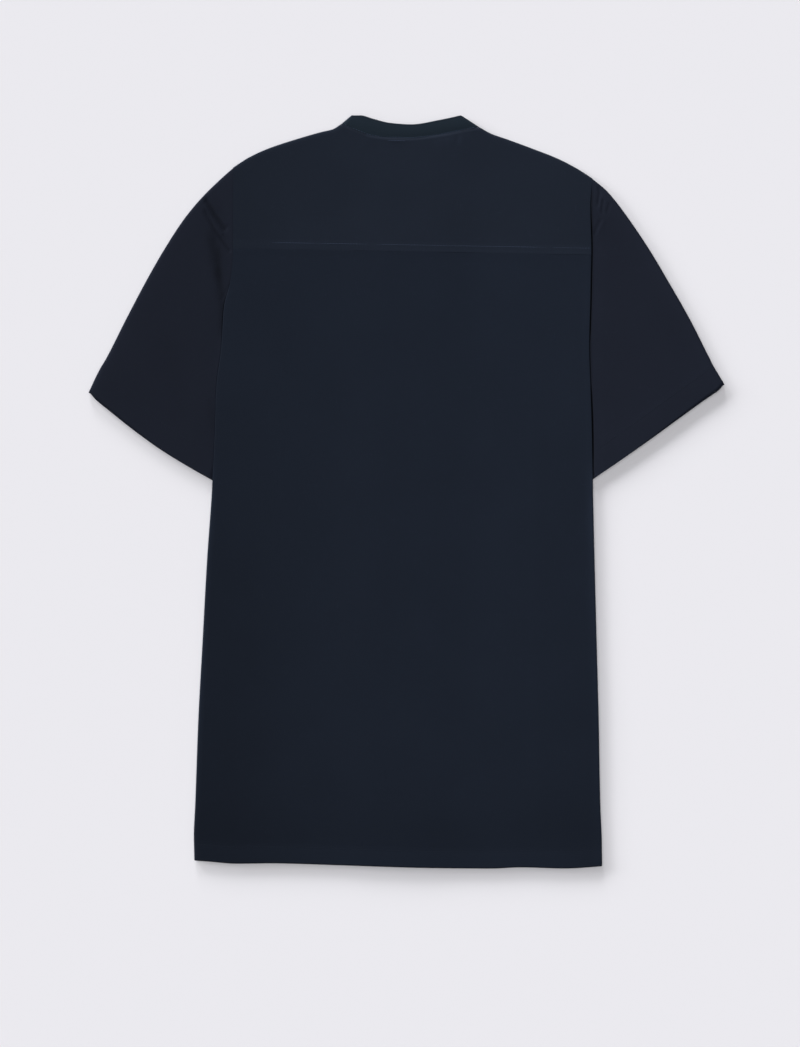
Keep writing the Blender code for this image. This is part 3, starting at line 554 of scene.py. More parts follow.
def to_line(x, y, line):
    """The distance in plan from each point to the nearest point of a line of points."""
    nearest = np.full(np.shape(x), np.inf)
    for (ax, ay), (bx, by) in zip(line[:-1], line[1:]):
        dx, dy = bx - ax, by - ay
        t = np.clip(((x - ax) * dx + (y - ay) * dy) / (dx * dx + dy * dy), 0.0, 1.0)
        nearest = np.minimum(nearest, np.hypot(x - ax - t * dx, y - ay - t * dy))
    return nearest


def creases(x, y, rows):
    """Ridges and troughs: each is its height times a bell of the distance to its line."""
    return sum(height * bell(to_line(x, y, line), width) for *line, height, width in rows)


def ripple(x, y, height, seed, reach):
    """Soft unevenness: a sum of sine waves in seeded directions, each about reach long."""
    rng = np.random.default_rng(seed)
    turns = rng.uniform(0, 2 * math.pi, RIPPLE_WAVES)
    reaches = rng.uniform(0.6, 1.6, RIPPLE_WAVES) * reach
    phases = rng.uniform(0, 2 * math.pi, RIPPLE_WAVES)
    total = np.zeros(np.shape(x))
    for turn, wave, phase in zip(turns, reaches, phases):
        total += np.sin(2 * math.pi * (x * math.cos(turn) + y * math.sin(turn)) / wave + phase)
    return height * (total / math.sqrt(RIPPLE_WAVES))


# ---------------------------------------------------------------- the shirt's lines


def edge(height, side):
    return read(SIDES, NAMES[side], height)


def under(height, side):
    return read(SIDES, "under_" + NAMES[side], height)


def slot_open(height, side):
    return read(SLOTS[side], "open", height)


def hem(across):
    return read(HEM, "height", across)


def centre(height):
    return CENTRE_AT_NECK - CENTRE_LEAN * (NECK_FRONT - height)


def yoke_seam(across):
    left, right = (float(edge(SEAM_LEFT, side)) for side in (-1, 1))
    return SEAM_LEFT + (SEAM_RIGHT - SEAM_LEFT) * (across - left) / (right - left)


def back_height(across, height):
    off_centre = np.abs(across - centre(height))
    return BACK_OVER + (BACK_CREST - BACK_OVER) * (1 - ease(off_centre, CREST_HALF, CREST_END))


def half_placket(side):
    return PLACKET_WIDTH / 2 + (GAP if side < 0 else LAP_EASE)


def front_height(across, height, side):
    """A front lies on the surface, and rises over its turned side and over the placket or the lap."""
    inward = side * (edge(height, side) - across)
    past = inward - under(height, side)
    up = 1 - ease(height, *SLEEVES[side]["front_up"])
    over_side = (FRONT_OVER - FLOOR_LAYER) * up * (1 - ease(past, SHOULDER_ROOM, SHOULDER_ROOM + SLOPE))
    top = PLACKET_LAYER if side < 0 else LAP_LAYER
    half = half_placket(side)
    to_centre = side * (across - centre(height))
    at_centre = (top - FLOOR_LAYER) * (1 - ease(to_centre, half, half + PLACKET_RISE))
    return FLOOR_LAYER + over_side + at_centre


def curled_edge(height, side, level, inset, bend, radius):
    """Ends of sections, from their flat part outwards: arcs of an angle and a length, one a row.

    The arc's length is radius times the angle; where it hardly curls it is a short flat stretch.
    """
    parts = (np.broadcast_to(part, height.shape)[:, None] for part in (height, level, inset, bend))
    height, level, inset, bend = parts
    s = np.linspace(0.0, 1.0, TURN_POINTS) * radius * np.maximum(bend, PLAIN_TURN)
    turn = np.maximum(bend, 1e-6) / s[:, -1:]
    out, down = np.sin(turn * s) / turn, (1 - np.cos(turn * s)) / turn
    x = edge(height, side) - side * (inset + out.max(axis=1, keepdims=True) - out)
    return np.stack([x, np.broadcast_to(height, x.shape), level - down], axis=-1)


def curl_share(height, side):
    return 1 - ease(height, SLEEVES[side]["tucked"], SLEEVES[side]["joined"])


def back_edge(height, side, level):
    """The back's edge: folded to the strip below the sleeves, and curled over them above."""
    share = curl_share(height, side)
    folded = curled_edge(height, side, level, WALL / 2, math.pi, BACK_TURN)
    inset = SEAM_GAP / 2 + (WALL - SEAM_GAP) / 2 * share
    rolled = curled_edge(height, side, level, inset, math.pi / 2 * share, ROLL_RADIUS)
    return np.where((height <= STRIP_TOP)[:, None, None], folded, rolled)


def front_edge(height, side, level):
    """A front's edge: folded inside the back's, and plain above the strip."""
    folded = curled_edge(height, side, level, WALL / 2 + PLY, math.pi, FRONT_TURN)
    step_back = TURN_EASE * (1 - ease(abs(height - ROLL_START), 0.0, TURN_EASE_REACH))
    inset = GAP / 2 + PLY * curl_share(height, side) + step_back
    plain = curled_edge(height, side, level, inset, 0.0, FRONT_TURN)
    return np.where((height <= STRIP_TOP)[:, None, None], folded, plain)


def drop_to_hem(grid):
    """Pulls the lowest rows to the hem's curve, fading out over a height above it."""
    grid = grid.copy()
    lowest = grid[..., 1].min()
    pull = 1 - ease(grid[..., 1], lowest, lowest + HEM_REACH)
    grid[..., 1] += (hem(grid[..., 0]) - lowest) * pull
    return grid


HEM_ROWS = spaced((LOWEST, LOWEST + HEM_FINE), HEM_STEPS)
LOW_ROWS = extended(HEM_ROWS, STRIP_TOP, ROW_STEP)
BODY_ROWS = extended(extended(LOW_ROWS, ROLL_START, ROLL_STEP), FINE_FROM, ROW_STEP)
BACK_ROWS = np.append(extended(BODY_ROWS, ROWS_TOP - SEAM_EDGE, FINE_STEP), ROWS_TOP)


def strip(side, level):
    """A panel's turned-under part: columns from its fold in to its side seam."""
    away = (-side * STRIP_CLEAR, -STRIP_CLEAR)
    cuff = np.array(SLEEVES[side]["cuff"]) + away
    underarm = np.array(SLEEVES[side]["underarm"]) + away
    fold_reach = WALL / 2 + BACK_TURN
    fold_x = float(edge(STRIP_TOP, side)) - side * fold_reach
    cuff_share = (cuff[0] - fold_x) / (underarm[0] - fold_x)
    share = np.unique(spaced((0.0, cuff_share, 1.0), STRIP_STEP))
    x_top = fold_x + (underarm[0] - fold_x) * share
    below_cuff = STRIP_TOP + (cuff[1] - STRIP_TOP) * (x_top - fold_x) / (cuff[0] - fold_x)
    below_arm = cuff[1] + (underarm[1] - cuff[1]) * (x_top - cuff[0]) / (underarm[0] - cuff[0])
    top = np.where(share <= cuff_share, below_cuff, below_arm)
    y = LOWEST + (LOW_ROWS[:, None] - LOWEST) * (top - LOWEST) / (STRIP_TOP - LOWEST)
    reach = fold_reach * (1 - share) + under(y, side) * share
    return np.stack([edge(y, side) - side * reach, y, np.full_like(y, level)], axis=-1)


def band_lines():
    """The band's seam and free edge as points, and which point each row of the table is."""
    along = lengths(BAND[:, :3])
    stations = spaced(along, BAND_STEP)
    seam, top = (follow(smooth, stations, along, line) for line in (BAND[:, :3], BAND[:, 3:]))
    return seam, top, np.searchsorted(stations, along - 1e-6)


def neckline(first, last):
    """The cloth's edge along the band's seam between two rows of the table."""
    line, top, rows = band_lines()
    line[:, :2] += unit(line[:, :2] - top[:, :2]) * SEAM_GAP
    line[:, 2] += NECK_LIFT * ease(line[:, 2], *NECK_LEVELS)
    return line[rows[first]:rows[last] + 1]


def shoulder_fold(side):
    """The yoke over one shoulder: rows round a half turn, then down the flap in front."""
    outline = SHOULDERS[side]
    armhole_x = float(edge(outline["height"][0], side))
    curl = armhole_x - side * (SEAM_GAP / 2 + np.linspace(0.0, ROLL_RADIUS * PLAIN_TURN, TURN_POINTS))
    first = curl if side > 0 else curl[0] + np.array([0.0, SEAM_EDGE])
    x = np.concatenate([first, spaced([first[-1], *outline["across"][1:]], COLUMN_STEP)[1:]])
    y = read(outline, "height", x)
    slope = (read(outline, "height", x + 1) - y) * ease(abs(x - armhole_x), *ARMHOLE_NEAR)
    near_neck = ease(side * (outline["across"][-2] - x), *NECK_NEAR)
    slope = slope * (1 - near_neck) + side * NECK_SLOPE * near_neck
    normal = unit(np.column_stack([-slope, np.ones_like(slope)]))
    inner = np.column_stack([x, y]) - normal * (WALL / 2 + BACK_TURN)
    bend = np.linspace(0.0, math.pi, TURN_POINTS)[:, None]
    plan = inner + normal * BACK_TURN * np.sin(bend)[..., None]
    level = np.broadcast_to(FLOOR_LAYER + BACK_TURN * (1 + np.cos(bend)), plan.shape[:2])
    depth = spaced((0.0, FLAP - BACK_TURN), FLAP_STEP)[1:, None]
    flap_x, flap_y = inner[:, 0] + 0 * depth, inner[:, 1] - depth
    flap = np.dstack([flap_x, flap_y, np.full_like(flap_y, FLOOR_LAYER)])
    rows = np.concatenate([np.dstack([plan, level]), flap])
    near_armhole = 1 - ease(abs(rows[..., 0] - armhole_x), *ARMHOLE_NEAR)
    rows[..., 0] += (edge(rows[..., 1], side) - armhole_x) * near_armhole
    neck = neckline(LEFT_FLAP, LEFT_BACK)[::-1] if side < 0 else neckline(RIGHT_BACK, RIGHT_FLAP)
    along = lengths(neck)
    arc = math.pi * BACK_TURN
    over, down = np.linspace(0.0, arc, TURN_POINTS), np.linspace(arc, along[-1], len(depth) + 1)[1:]
    rows[:, -1] = follow(np.interp, np.concatenate([over, down]), along, neck)
    return rows


# ---------------------------------------------------------------- cloth grids


def groove(away, depth, width):
    return depth * bell(away, width)


def puckers(x, up, seam, height, pitch, slant, sway, bend, fade):
    """Puckers along a seam: a sine across, whose lines slant and sway, fading up and down from it."""
    across = x + slant * up + sway * np.sin(x / bend)
    return height * np.sin(2 * math.pi * across / pitch) * bell(up - seam, fade)


def turned_cloth(away, depth):
    """A hem: thicker than the cloth, with a groove at its stitches; away is the way from its end."""
    thick = HEM_THICK * (1 - ease(away, depth, depth + HEM_EASE))
    return thick - groove(away - depth + STITCH_IN, *HEM_GROOVE)


def hem_relief(x, y):
    """The body's hem, with faint slanting puckers along its stitches."""
    depth = size("hem")
    up = y - hem(x)
    return turned_cloth(up, depth) + puckers(x, up, depth, **HEM_PUCKERS)


def back_relief(x, y):
    return hem_relief(x, y) + ripple(x, y, *BACK_RIPPLE)


def back_grid():
    """The back: sections across, each with its curled or folded ends, and the hem and seam worked in."""
    left, right = (back_edge(BACK_ROWS, side, BACK_OVER) for side in (-1, 1))
    x = left[:, :1, 0] + (right[:, :1, 0] - left[:, :1, 0]) * np.linspace(0.0, 1.0, BACK_COLUMNS)
    y = np.broadcast_to(BACK_ROWS[:, None], x.shape)
    middle = np.stack([x, y, back_height(x, y)], axis=-1)
    main = np.concatenate([left[:, ::-1], middle[:, 1:-1], right], axis=1)
    to_seam = ease(main[..., 1], ROWS_TOP - HEM_REACH, ROWS_TOP)
    main[..., 1] += (yoke_seam(main[..., 0]) - SEAM_GAP / 2 - ROWS_TOP) * to_seam
    main = drop_to_hem(main)
    x, y = main[..., 0], main[..., 1]
    at_seam = SEAM_THICK * bell(yoke_seam(x) - y, BELOW_SEAM)
    relief = back_relief(x, y) + creases(x, y, BACK_CREASES) + at_seam
    main[..., 2] += ease(main[..., 2], *CURVED) * relief
    strips = {side: drop_to_hem(strip(side, FLOOR_LAYER)) for side in (-1, 1)}
    strips[-1][:, 0], strips[1][:, 0] = main[:len(LOW_ROWS), 0], main[:len(LOW_ROWS), -1]
    return [main, strips[-1][:, ::-1], strips[1]]


def yoke_grid():
    """The yoke: rows blend from the seam to the shoulders and the neck, then fold to the front.

    Its seam's allowance makes it thicker up to the topstitching, with a groove and puckers there.
    """
    left, right = shoulder_fold(-1), shoulder_fold(1)
    neck = neckline(LEFT_BACK, RIGHT_BACK)
    right_inner = right[0, TURN_POINTS:-1][::-1]
    ends = np.concatenate([left[0, :-1], neck, right_inner, right[0, :TURN_POINTS][::-1]])
    near_seam = np.linspace(0.0, FINE_SHARE, FINE_ROWS + 1)[1:]
    above = np.linspace(FINE_SHARE, 1.0, PLAIN_ROWS + 1)[1:]
    share = np.concatenate([[0.0, SEAM_SHARE], near_seam, above])[:, None]
    low = yoke_seam(ends[:, 0]) + SEAM_GAP / 2
    main = np.repeat(ends[None], len(share), axis=0)
    main[..., 1] = low + (ends[:, 1] - low) * share
    resting = back_height(main[..., 0], main[..., 1])
    main[..., 2] = resting + (ends[:, 2] - resting) * ease(share, YOKE_RISE, 1.0)
    main[:, 0, 0] = edge(main[:, 0, 1], -1) + SEAM_GAP / 2
    main[:, -TURN_POINTS:, ::2] = back_edge(main[:, -1, 1], 1, BACK_OVER)[..., ::2]
    x, y = main[..., 0], main[..., 1]
    up, seam = y - yoke_seam(x), size("seam")
    main[..., 2] += ease(main[..., 2], *CURVED) * (1 - ease(share, YOKE_PLAIN, 1.0)) * (
        SEAM_THICK * (1 - ease(up, seam + SEAM_EASE[0], seam + SEAM_EASE[1]))
        - groove(up - seam, *YOKE_GROOVE)
        + puckers(x, up, seam, **YOKE_PUCKERS)
        + ripple(x, y, *YOKE_RIPPLE)
        + creases(x, y, YOKE_CREASES)
    )
    left[0], right[0] = main[-1, :left.shape[1]], main[-1, -right.shape[1]:][::-1]
    return [main, left, right[:, ::-1]]


def neck_part(side):
    """A front's neckline, from its shoulder seam to the centre."""
    if side < 0:
        line = neckline(0, LEFT_FLAP)[::-1]
        stop = float(centre(NECK_FRONT)) - half_placket(side)
    else:
        line = np.concatenate([neckline(RIGHT_FLAP, LAST), neckline(0, 1)])
        stop = float(centre(NECK_FRONT)) - LAP
    kept = line[side * (line[:, 0] - stop) > 1.0]
    order = np.argsort(line[:, 0])
    return np.vstack([kept, (stop, np.interp(stop, line[order, 0], line[order, 1]), 0.0)])


def front_grid(side):
    """A front: each section's columns spread from its edge over its slopes to the centre.

    The columns lie at marks: the edge, both ends of the slope beside it, both ends of the slope
    to the placket and, on the right, the lap's edge.
    """
    first = TURN_POINTS - 1 if side > 0 else 1
    shoulder = shoulder_fold(side)[-1, first:-1] - (0.0, GAP + JOINT_EASE, 0.0)
    neck = neck_part(side)
    neck[0, 1] -= GAP
    top = np.concatenate([shoulder, neck])
    heights = BODY_ROWS[BODY_ROWS <= FRONT_BLEND]
    shares = np.linspace(0.0, 1.0, BLEND_ROWS + 1)[1:]
    height = np.concatenate([heights, np.full(len(shares), heights[-1])])[:, None]
    share = np.concatenate([np.zeros(len(heights)), shares])[:, None]
    y = height + (top[:, 1] - height) * share
    start = front_edge(y[:, 0], side, 0.0)[:, :1, 0] + 0 * y
    past = edge(y, side) - side * (np.maximum(under(y, side), LEAST_UNDER) + SHOULDER_ROOM)
    level_end = centre(y) + side * half_placket(side)
    places = [start, past, past - side * SLOPE, level_end + side * PLACKET_RISE, level_end]
    if side > 0:
        places.append(centre(y) - LAP)
    places, marks = np.stack(places), np.array(FRONT_MARKS[side])
    columns = np.arange(y.shape[1])
    spread = np.linspace(0.0, 1.0, y.shape[1])
    mark = np.clip(np.searchsorted(marks, spread, side="right") - 1, 0, len(marks) - 2)
    t = (spread - marks[mark]) / (marks[mark + 1] - marks[mark])
    low = places[mark, :, columns].T * (1 - t) + places[mark + 1, :, columns].T * t
    x = low + (top[:, 0] - low) * share
    x[:, 0] = low[:, 0]
    main = np.stack([x, y, front_height(x, y, side)], axis=-1)
    curl = front_edge(y[:, 0], side, main[:, 0, 2])
    main = drop_to_hem(np.concatenate([curl[:, ::-1], main[:, 1:]], axis=1))
    turned = drop_to_hem(strip(side, SECOND_LAYER))
    turned[:, 0] = main[:len(LOW_ROWS), 0]
    return [main, turned[:, ::-1]]


def placket_grid():
    """The placket: straight sections from the hem to the neckline, along the leaning centre."""
    line = np.concatenate([neckline(LAST - 1, LAST), neckline(0, 1)])
    line = line[np.argsort(line[:, 0])]
    share = np.linspace(-0.5, 0.5, PLACKET_COLUMNS)
    top = np.interp(centre(NECK_FRONT) + share * PLACKET_WIDTH, line[:, 0], line[:, 1]) - GAP
    rows = extended(HEM_ROWS, NECK_FRONT - BLEND_LENGTH, ROW_STEP)
    ends = rows[-1] + (top - rows[-1]) * np.linspace(0.2, 1.0, 5)[:, None]
    y = np.concatenate([np.repeat(rows[:, None], len(share), axis=1), ends])
    x = centre(y) + share * PLACKET_WIDTH
    sewn = groove(abs(share) * PLACKET_WIDTH - PLACKET_STITCHES, *PLACKET_GROOVE)
    z = PLACKET_LAYER - sewn + ripple(x, y, *PLACKET_RIPPLE)
    return [drop_to_hem(np.stack([x, y, z], axis=-1))]


def band_grid():
    """The collar band: from its seam to its free edge, with a slight crown and grooves at the back."""
    seam, top, _ = band_lines()
    share = np.linspace(0.0, 1.0, BAND_COLUMNS)
    grid = seam[:, None] + (top - seam)[:, None] * share[:, None]
    depth, width = BAND_GROOVE
    sewn = sum(part * bell((share - place) * BAND_WIDTH, width) for place, part in BAND_GROOVES)
    back = ease(grid[..., 2], *CROWN_LEVELS)
    grid[..., 2] += BAND_CROWN * np.sin(math.pi * share) * back
    grid[..., 2] -= depth * sewn * back
    return grid


def resampled(line, shares):
    """Points of a line at shares of its length."""
    points = np.array(line)
    along = lengths(points)
    return follow(smooth, shares * along[-1], along, points)


def inner_fold_line(side, shares):
    """The middle of the upper fold's half turn, and the fold's outward normals.

    The normal is square to the line, and turns to point up the body at the shoulder.
    """
    fold = SLEEVES[side]["fold"]
    ahead, behind = (resampled(fold, np.clip(shares + step, 0, 1)) for step in (0.01, -0.01))
    tangent = ahead - behind
    normal = unit(side * np.stack([-tangent[..., 1], tangent[..., 0]], axis=-1))
    turned = ease(shares, 0.0, SLEEVE_CORNER)[..., None]
    normal = unit(normal * turned + np.array([0.0, 1.0]) * (1 - turned))
    step = HEM_STEP[side] * ease(shares, *HEM_STARTS) * (1 - ease(shares, HEM_STARTS[1], 1.0))
    return resampled(fold, shares) - normal * (FOLD_INSET[side] + BACK_TURN + step[..., None]), normal


def half_turn(line, normal, radius):
    """Rings of points round a folded edge, from its upper layer to its lower one."""
    bend = np.linspace(0.0, math.pi, TURN_POINTS)[1:-1][None, :, None]
    plan = line[:, None] + np.broadcast_to(normal, line.shape)[:, None] * radius * np.sin(bend)
    return np.concatenate([plan, FLOOR_LAYER + radius * (1 + np.cos(bend)) + 0 * plan[..., :1]], axis=-1)


class SleevePlan:
    """A sleeve seen from above: blended between its fold, its underarm seam, armhole and cuff.

    At a share u of its length and w of its width, a point is the straight blend of fold and
    seam, plus (1 - u) times the armhole's bow there, plus u times the cuff's bow.
    """

    def __init__(self, side):
        self.side, self.sleeve = side, SLEEVES[side]
        underarm, cuff = np.array(self.sleeve["underarm"]), np.array(self.sleeve["cuff"])
        direction = unit(cuff - underarm)
        self.seam_normal = -side * np.array([-direction[1], direction[0]])
        inset = self.seam_normal * (WALL / 2 + FRONT_TURN)
        self.seam_ends = underarm - inset, cuff - inset
        high, low = CREASED[side]
        heights = spaced(self.sleeve["armhole"], ARMHOLE_STEP)
        creased = spaced((high, low), CREASE_STEP)
        heights = np.concatenate([heights[heights > high], creased, heights[heights < low]])
        first_below = heights[0] - FOLD_INSET[side] - BACK_TURN - FOLD_CLEAR
        self.heights = np.append(heights[0], heights[heights < first_below])
        x = edge(self.heights, side) - side * under(self.heights, side) + side * SEAM_GAP / 2
        self.armhole = np.column_stack([x, self.heights])
        self.across = lengths(self.armhole) / lengths(self.armhole)[-1]
        self.armhole[0], self.armhole[-1] = inner_fold_line(side, np.array(0.0))[0], self.seam_ends[0]
        self.cuff_line = resampled(self.sleeve["cuff_line"], self.across)
        corner = inner_fold_line(side, np.array(1.0))[0] - self.cuff_line[0]
        self.cuff_line += corner * (1 - ease(self.across, 0.0, CUFF_CORNER))[:, None]
        self.cuff_line[-1] = self.seam_ends[1]

    def straight(self, shares):
        w = self.across[:, None]
        seam = self.seam_ends[0] + (self.seam_ends[1] - self.seam_ends[0]) * shares[..., None]
        return inner_fold_line(self.side, shares)[0] * (1 - w) + seam * w

    def points(self, shares):
        """Points for an array of shares with one column for each point of the armhole."""
        ends = [self.straight(np.full(len(self.across), end)) for end in (0.0, 1.0)]
        u = shares[..., None]
        return self.straight(shares) + (1 - u) * (self.armhole - ends[0]) + u * (self.cuff_line - ends[1])

    def outside(self, plan):
        return self.side * (plan[..., 0] - edge(plan[..., 1], self.side))

    def shares(self):
        """Rows that gather at the body's edge: found by where each column passes EDGE_STEPS."""
        count = len(self.across)
        dense = np.linspace(0.0, 1.0, 300)
        passed = self.outside(self.points(np.repeat(dense[:, None], count, axis=1)))
        passed = np.maximum.accumulate(passed, axis=0) + dense[:, None] * 1e-3
        gathered = np.stack([np.interp(EDGE_STEPS, passed[:, k], dense) for k in range(count)], axis=1)
        first = np.linspace(0.0, 1.0, INNER_ROWS, endpoint=False)[:, None] * gathered[:1]
        last = gathered[-1:] + np.linspace(0.0, 1.0, OUTER_ROWS + 1)[1:, None] ** 1.2 * (1 - gathered[-1:])
        rows = np.concatenate([first, gathered, last])
        return rows * (1 - EVEN_ROWS) + np.linspace(0.0, 1.0, len(rows))[:, None] * EVEN_ROWS


def sleeve_grids(side):
    """A sleeve as a flattened tube from armhole to cuff, open at both ends.

    Returns the whole tube, its upper layer, and how far each of that layer's points is from the
    cuff. The upper layer is tucked under the body's edge, and rises beside it to the back's level.
    """
    plan_of = SleevePlan(side)
    sleeve, across = plan_of.sleeve, plan_of.across
    shares = plan_of.shares()
    plan = plan_of.points(shares)
    x, y = plan[..., 0], plan[..., 1]
    outside = plan_of.outside(plan)
    slot = slot_open(y, side)
    start, steep = (shut + (wide - shut) * slot for shut, wide in (SLEEVE_START, SLEEVE_STEEP))
    lifted = (UNDER_EDGE - SECOND_LAYER) * np.clip(1 - slot, 0, 1) * ease(outside, *UNDER_REACH)
    risen = (SLEEVE_LEVEL - SECOND_LAYER) * ease(outside, start, start + steep)
    beside = np.maximum(lifted, risen) + (BACK_OVER - SLEEVE_LEVEL) * ease(outside, start, SLEEVE_FULL[side])
    joint = (BACK_OVER - SECOND_LAYER) * ease(plan_of.heights, sleeve["tucked"], sleeve["joined"])
    joint = joint * (1 - ease(shares, *JOINT_FADE))
    at_joint = ease(joint, *JOINED_BY)
    inner = np.minimum(across, 1 - across) * lengths(plan_of.armhole)[-1]
    seen = ease(inner, 0.0, SEEN_FROM_SEAM) * np.maximum(ease(outside, 0.0, SEEN_FROM_EDGE), at_joint)
    from_cuff = to_line(x, y, plan_of.cuff_line)
    relief = (
        creases(x, y, SLEEVE_CREASES[side])
        + turned_cloth(from_cuff, size("cuff"))
        + ripple(x, y, *SLEEVE_RIPPLE[side])
    )
    dip = JOINT_DIP * bell(outside, JOINT_WIDTH) * at_joint
    upper = np.maximum(SECOND_LAYER + np.maximum(beside, joint) + relief * seen - dip, SECOND_LAYER)
    upper[:, 0], upper[:, -1] = BACK_OVER, SECOND_LAYER
    top = np.dstack([plan, upper])
    bottom = np.dstack([plan, np.full_like(upper, FLOOR_LAYER)])
    _, fold_normal = inner_fold_line(side, shares[:, 0])
    tube = np.concatenate([
        top, half_turn(plan[:, -1], plan_of.seam_normal, FRONT_TURN), bottom[:, ::-1],
        half_turn(plan[:, 0], fold_normal, BACK_TURN)[:, ::-1], top[:, :1],
    ], axis=1)
    return tube, top, from_cuff


def along_cuff(top, from_cuff, distance):
    """The line on a sleeve's upper layer that keeps a distance from the cuff, one point a column."""
    line = []
    for points, away in zip(top.transpose(1, 0, 2), from_cuff.T):
        low = np.nonzero(away > distance)[0][-1]
        share = (away[low] - distance) / (away[low] - away[low + 1])
        line.append(points[low] * (1 - share) + points[low + 1] * share)
    return np.array(line)


# ---------------------------------------------------------------- painted light and shade on the cloth


def body_shade(x, y):
    """Painted light and shade on the body: darker to its left and lower end as the light falls off, painted
    highlights along its folded sides, and painted shade on the back's rim above an open slot.
    """
    down = ease(-y, *LOWER_FROM)
    shade = read(SHADE_ACROSS, "upper", x) * (1 - down) + read(SHADE_ACROSS, "lower", x) * down
    shade = shade * read(SHADE_UP, "shade", y)
    for side, name in NAMES.items():
        inward = side * (edge(y, side) - x)
        beside = read(SIDE_LIGHT, name, y) * bell(inward, SIDE_LIGHT_WIDTH[side])
        turn = FOLD_LIGHT[side] * bell(inward, FOLD_LIGHT_WIDTH) * ease(-y, -STRIP_TOP, FOLD_LIGHT_FROM)
        heights = SLOTS[side]["height"]
        slot = np.clip(slot_open(y, side), 0, 1) * (y < heights[0]) * (y > heights[-1])
        shade = shade * (1 + beside + turn) * (1 - RIM_DARK * slot * bell(inward, *RIM_AT))
    return shade


def hem_shade(x, y):
    """The hem itself is painted a little lighter than the cloth above its stitches, a painted highlight on
    the body's painted light and shade.
    """
    depth = size("hem")
    past = ease(y - hem(x), depth + HEM_LIGHT_FADE[0], depth + HEM_LIGHT_FADE[1])
    return body_shade(x, y) * (1 + HEM_LIGHT * (1 - past))


def yoke_shade(x, y):
    """Painted light and shade on the yoke, which is cut across the grain: darker to its left, painted
    highlights above and beside its seam and near the right armhole, and painted light and shade below the
    band.
    """
    up = y - yoke_seam(x)
    lit = YOKE_LIGHT * bell(up, *YOKE_LIGHT_AT) + SEAM_LIGHT * ease(x, *SEAM_LIT) * bell(up, *SEAM_LIGHT_AT)
    return read(SHADE_ACROSS, "yoke", x) * (1 + lit + creases(x, y, YOKE_SHADES))


def sleeve_shade(side, x, y):
    """Painted light and shade on a sleeve: painted shadow in its soft folds, creases and slot, painted
    highlights along its upper fold and at the shut left edge, and the left sleeve darker all over.
    """
    outside = side * (x - edge(y, side))
    crevice = 1 - CREVICE_DARK * slot_open(y, side) * bell(outside, *CREVICE_AT)
    shut = ease(-y, *SHUT_FROM) * (side < 0)
    lit = 1 + TOP_LIGHT * bell(to_line(x, y, SLEEVES[side]["fold"]), *TOP_LIGHT_AT)
    lit = lit * (1 + SHUT_LIGHT * shut * bell(outside, *SHUT_AT))
    folds = 1 + CREASE_SHADE * creases(x, y, SLEEVE_CREASES[side])
    soft = 1 + creases(x, y, SLEEVE_SHADES[side])
    return SLEEVE_SHADE[side] * lit * np.clip(crevice, 0.02, 1.0) * folds * soft


def even_shade(x, y):
    return 1 + 0 * x


# ---------------------------------------------------------------- meshes


def joined(grids):
    """The grids' points and quads, where points that two grids share become one."""
    points, quads, start = [], [], 0
    for grid in grids:
        rows, columns = grid.shape[:2]
        index = start + np.arange(rows * columns).reshape(rows, columns)
        corners = [index[:-1, :-1], index[:-1, 1:], index[1:, 1:], index[1:, :-1]]
        quads.append(np.stack(corners, axis=-1).reshape(-1, 4))
        points.append(grid.reshape(-1, 3))
        start += rows * columns
    points, quads = np.concatenate(points), np.concatenate(quads)
    _, first, inverse = np.unique(np.round(points, 4), axis=0, return_index=True, return_inverse=True)
    return points[first], inverse.reshape(-1)[quads]


def make_piece(name, points, quads, material, slot="shirting", solid=None, grain=0.0, shade=None):
    """A piece of the shirt from points in millimetres, with a UV map in metres along its grain.

    Its Shade attribute holds the painted light and shade: how much lighter or darker than its colour the
    cloth is painted at a point.
    """
    mesh = bpy.data.meshes.new(name)
    mesh.vertices.add(len(points))
    mesh.vertices.foreach_set("co", (points * MM).astype(np.float32).ravel())
    mesh.loops.add(quads.size)
    mesh.loops.foreach_set("vertex_index", quads.astype(np.int32).ravel())
    mesh.polygons.add(len(quads))
    mesh.polygons.foreach_set("loop_start", np.arange(0, quads.size, 4, dtype=np.int32))
    mesh.polygons.foreach_set("use_smooth", np.ones(len(quads), bool))
    mesh.update(calc_edges=True)
    turn = np.array([[math.cos(grain), -math.sin(grain)], [math.sin(grain), math.cos(grain)]])
    flat = points[:, :2] @ turn * MM
    mesh.uv_layers.new(name="Grain").data.foreach_set("uv", flat[quads.ravel()].astype(np.float32).ravel())
    if shade is not None:
        values = shade(points[:, 0], points[:, 1]).astype(np.float32)
        mesh.attributes.new("Shade", "FLOAT", "POINT").data.foreach_set("value", values)
    mesh.validate()
    mesh.materials.append(material)
    piece = bpy.data.objects.new(name, mesh)
    bpy.context.scene.collection.objects.link(piece)
    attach(piece, "root")
    if solid:
        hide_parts(solid)
    return piece


def cloth(name, grids, finish, solid, shade, slot="shirting", thickness=None, grain=0.0):
    """A piece of cloth: its grids in one mesh, with a wall half to either side."""
    piece = make_piece(name, *joined(grids), material_for(finish), slot, solid, grain, shade)
    wall = piece.modifiers.new("Wall", "SOLIDIFY")
    wall.thickness = (thickness or size("cloth")) * MM
    wall.offset = 0.0
    return piece


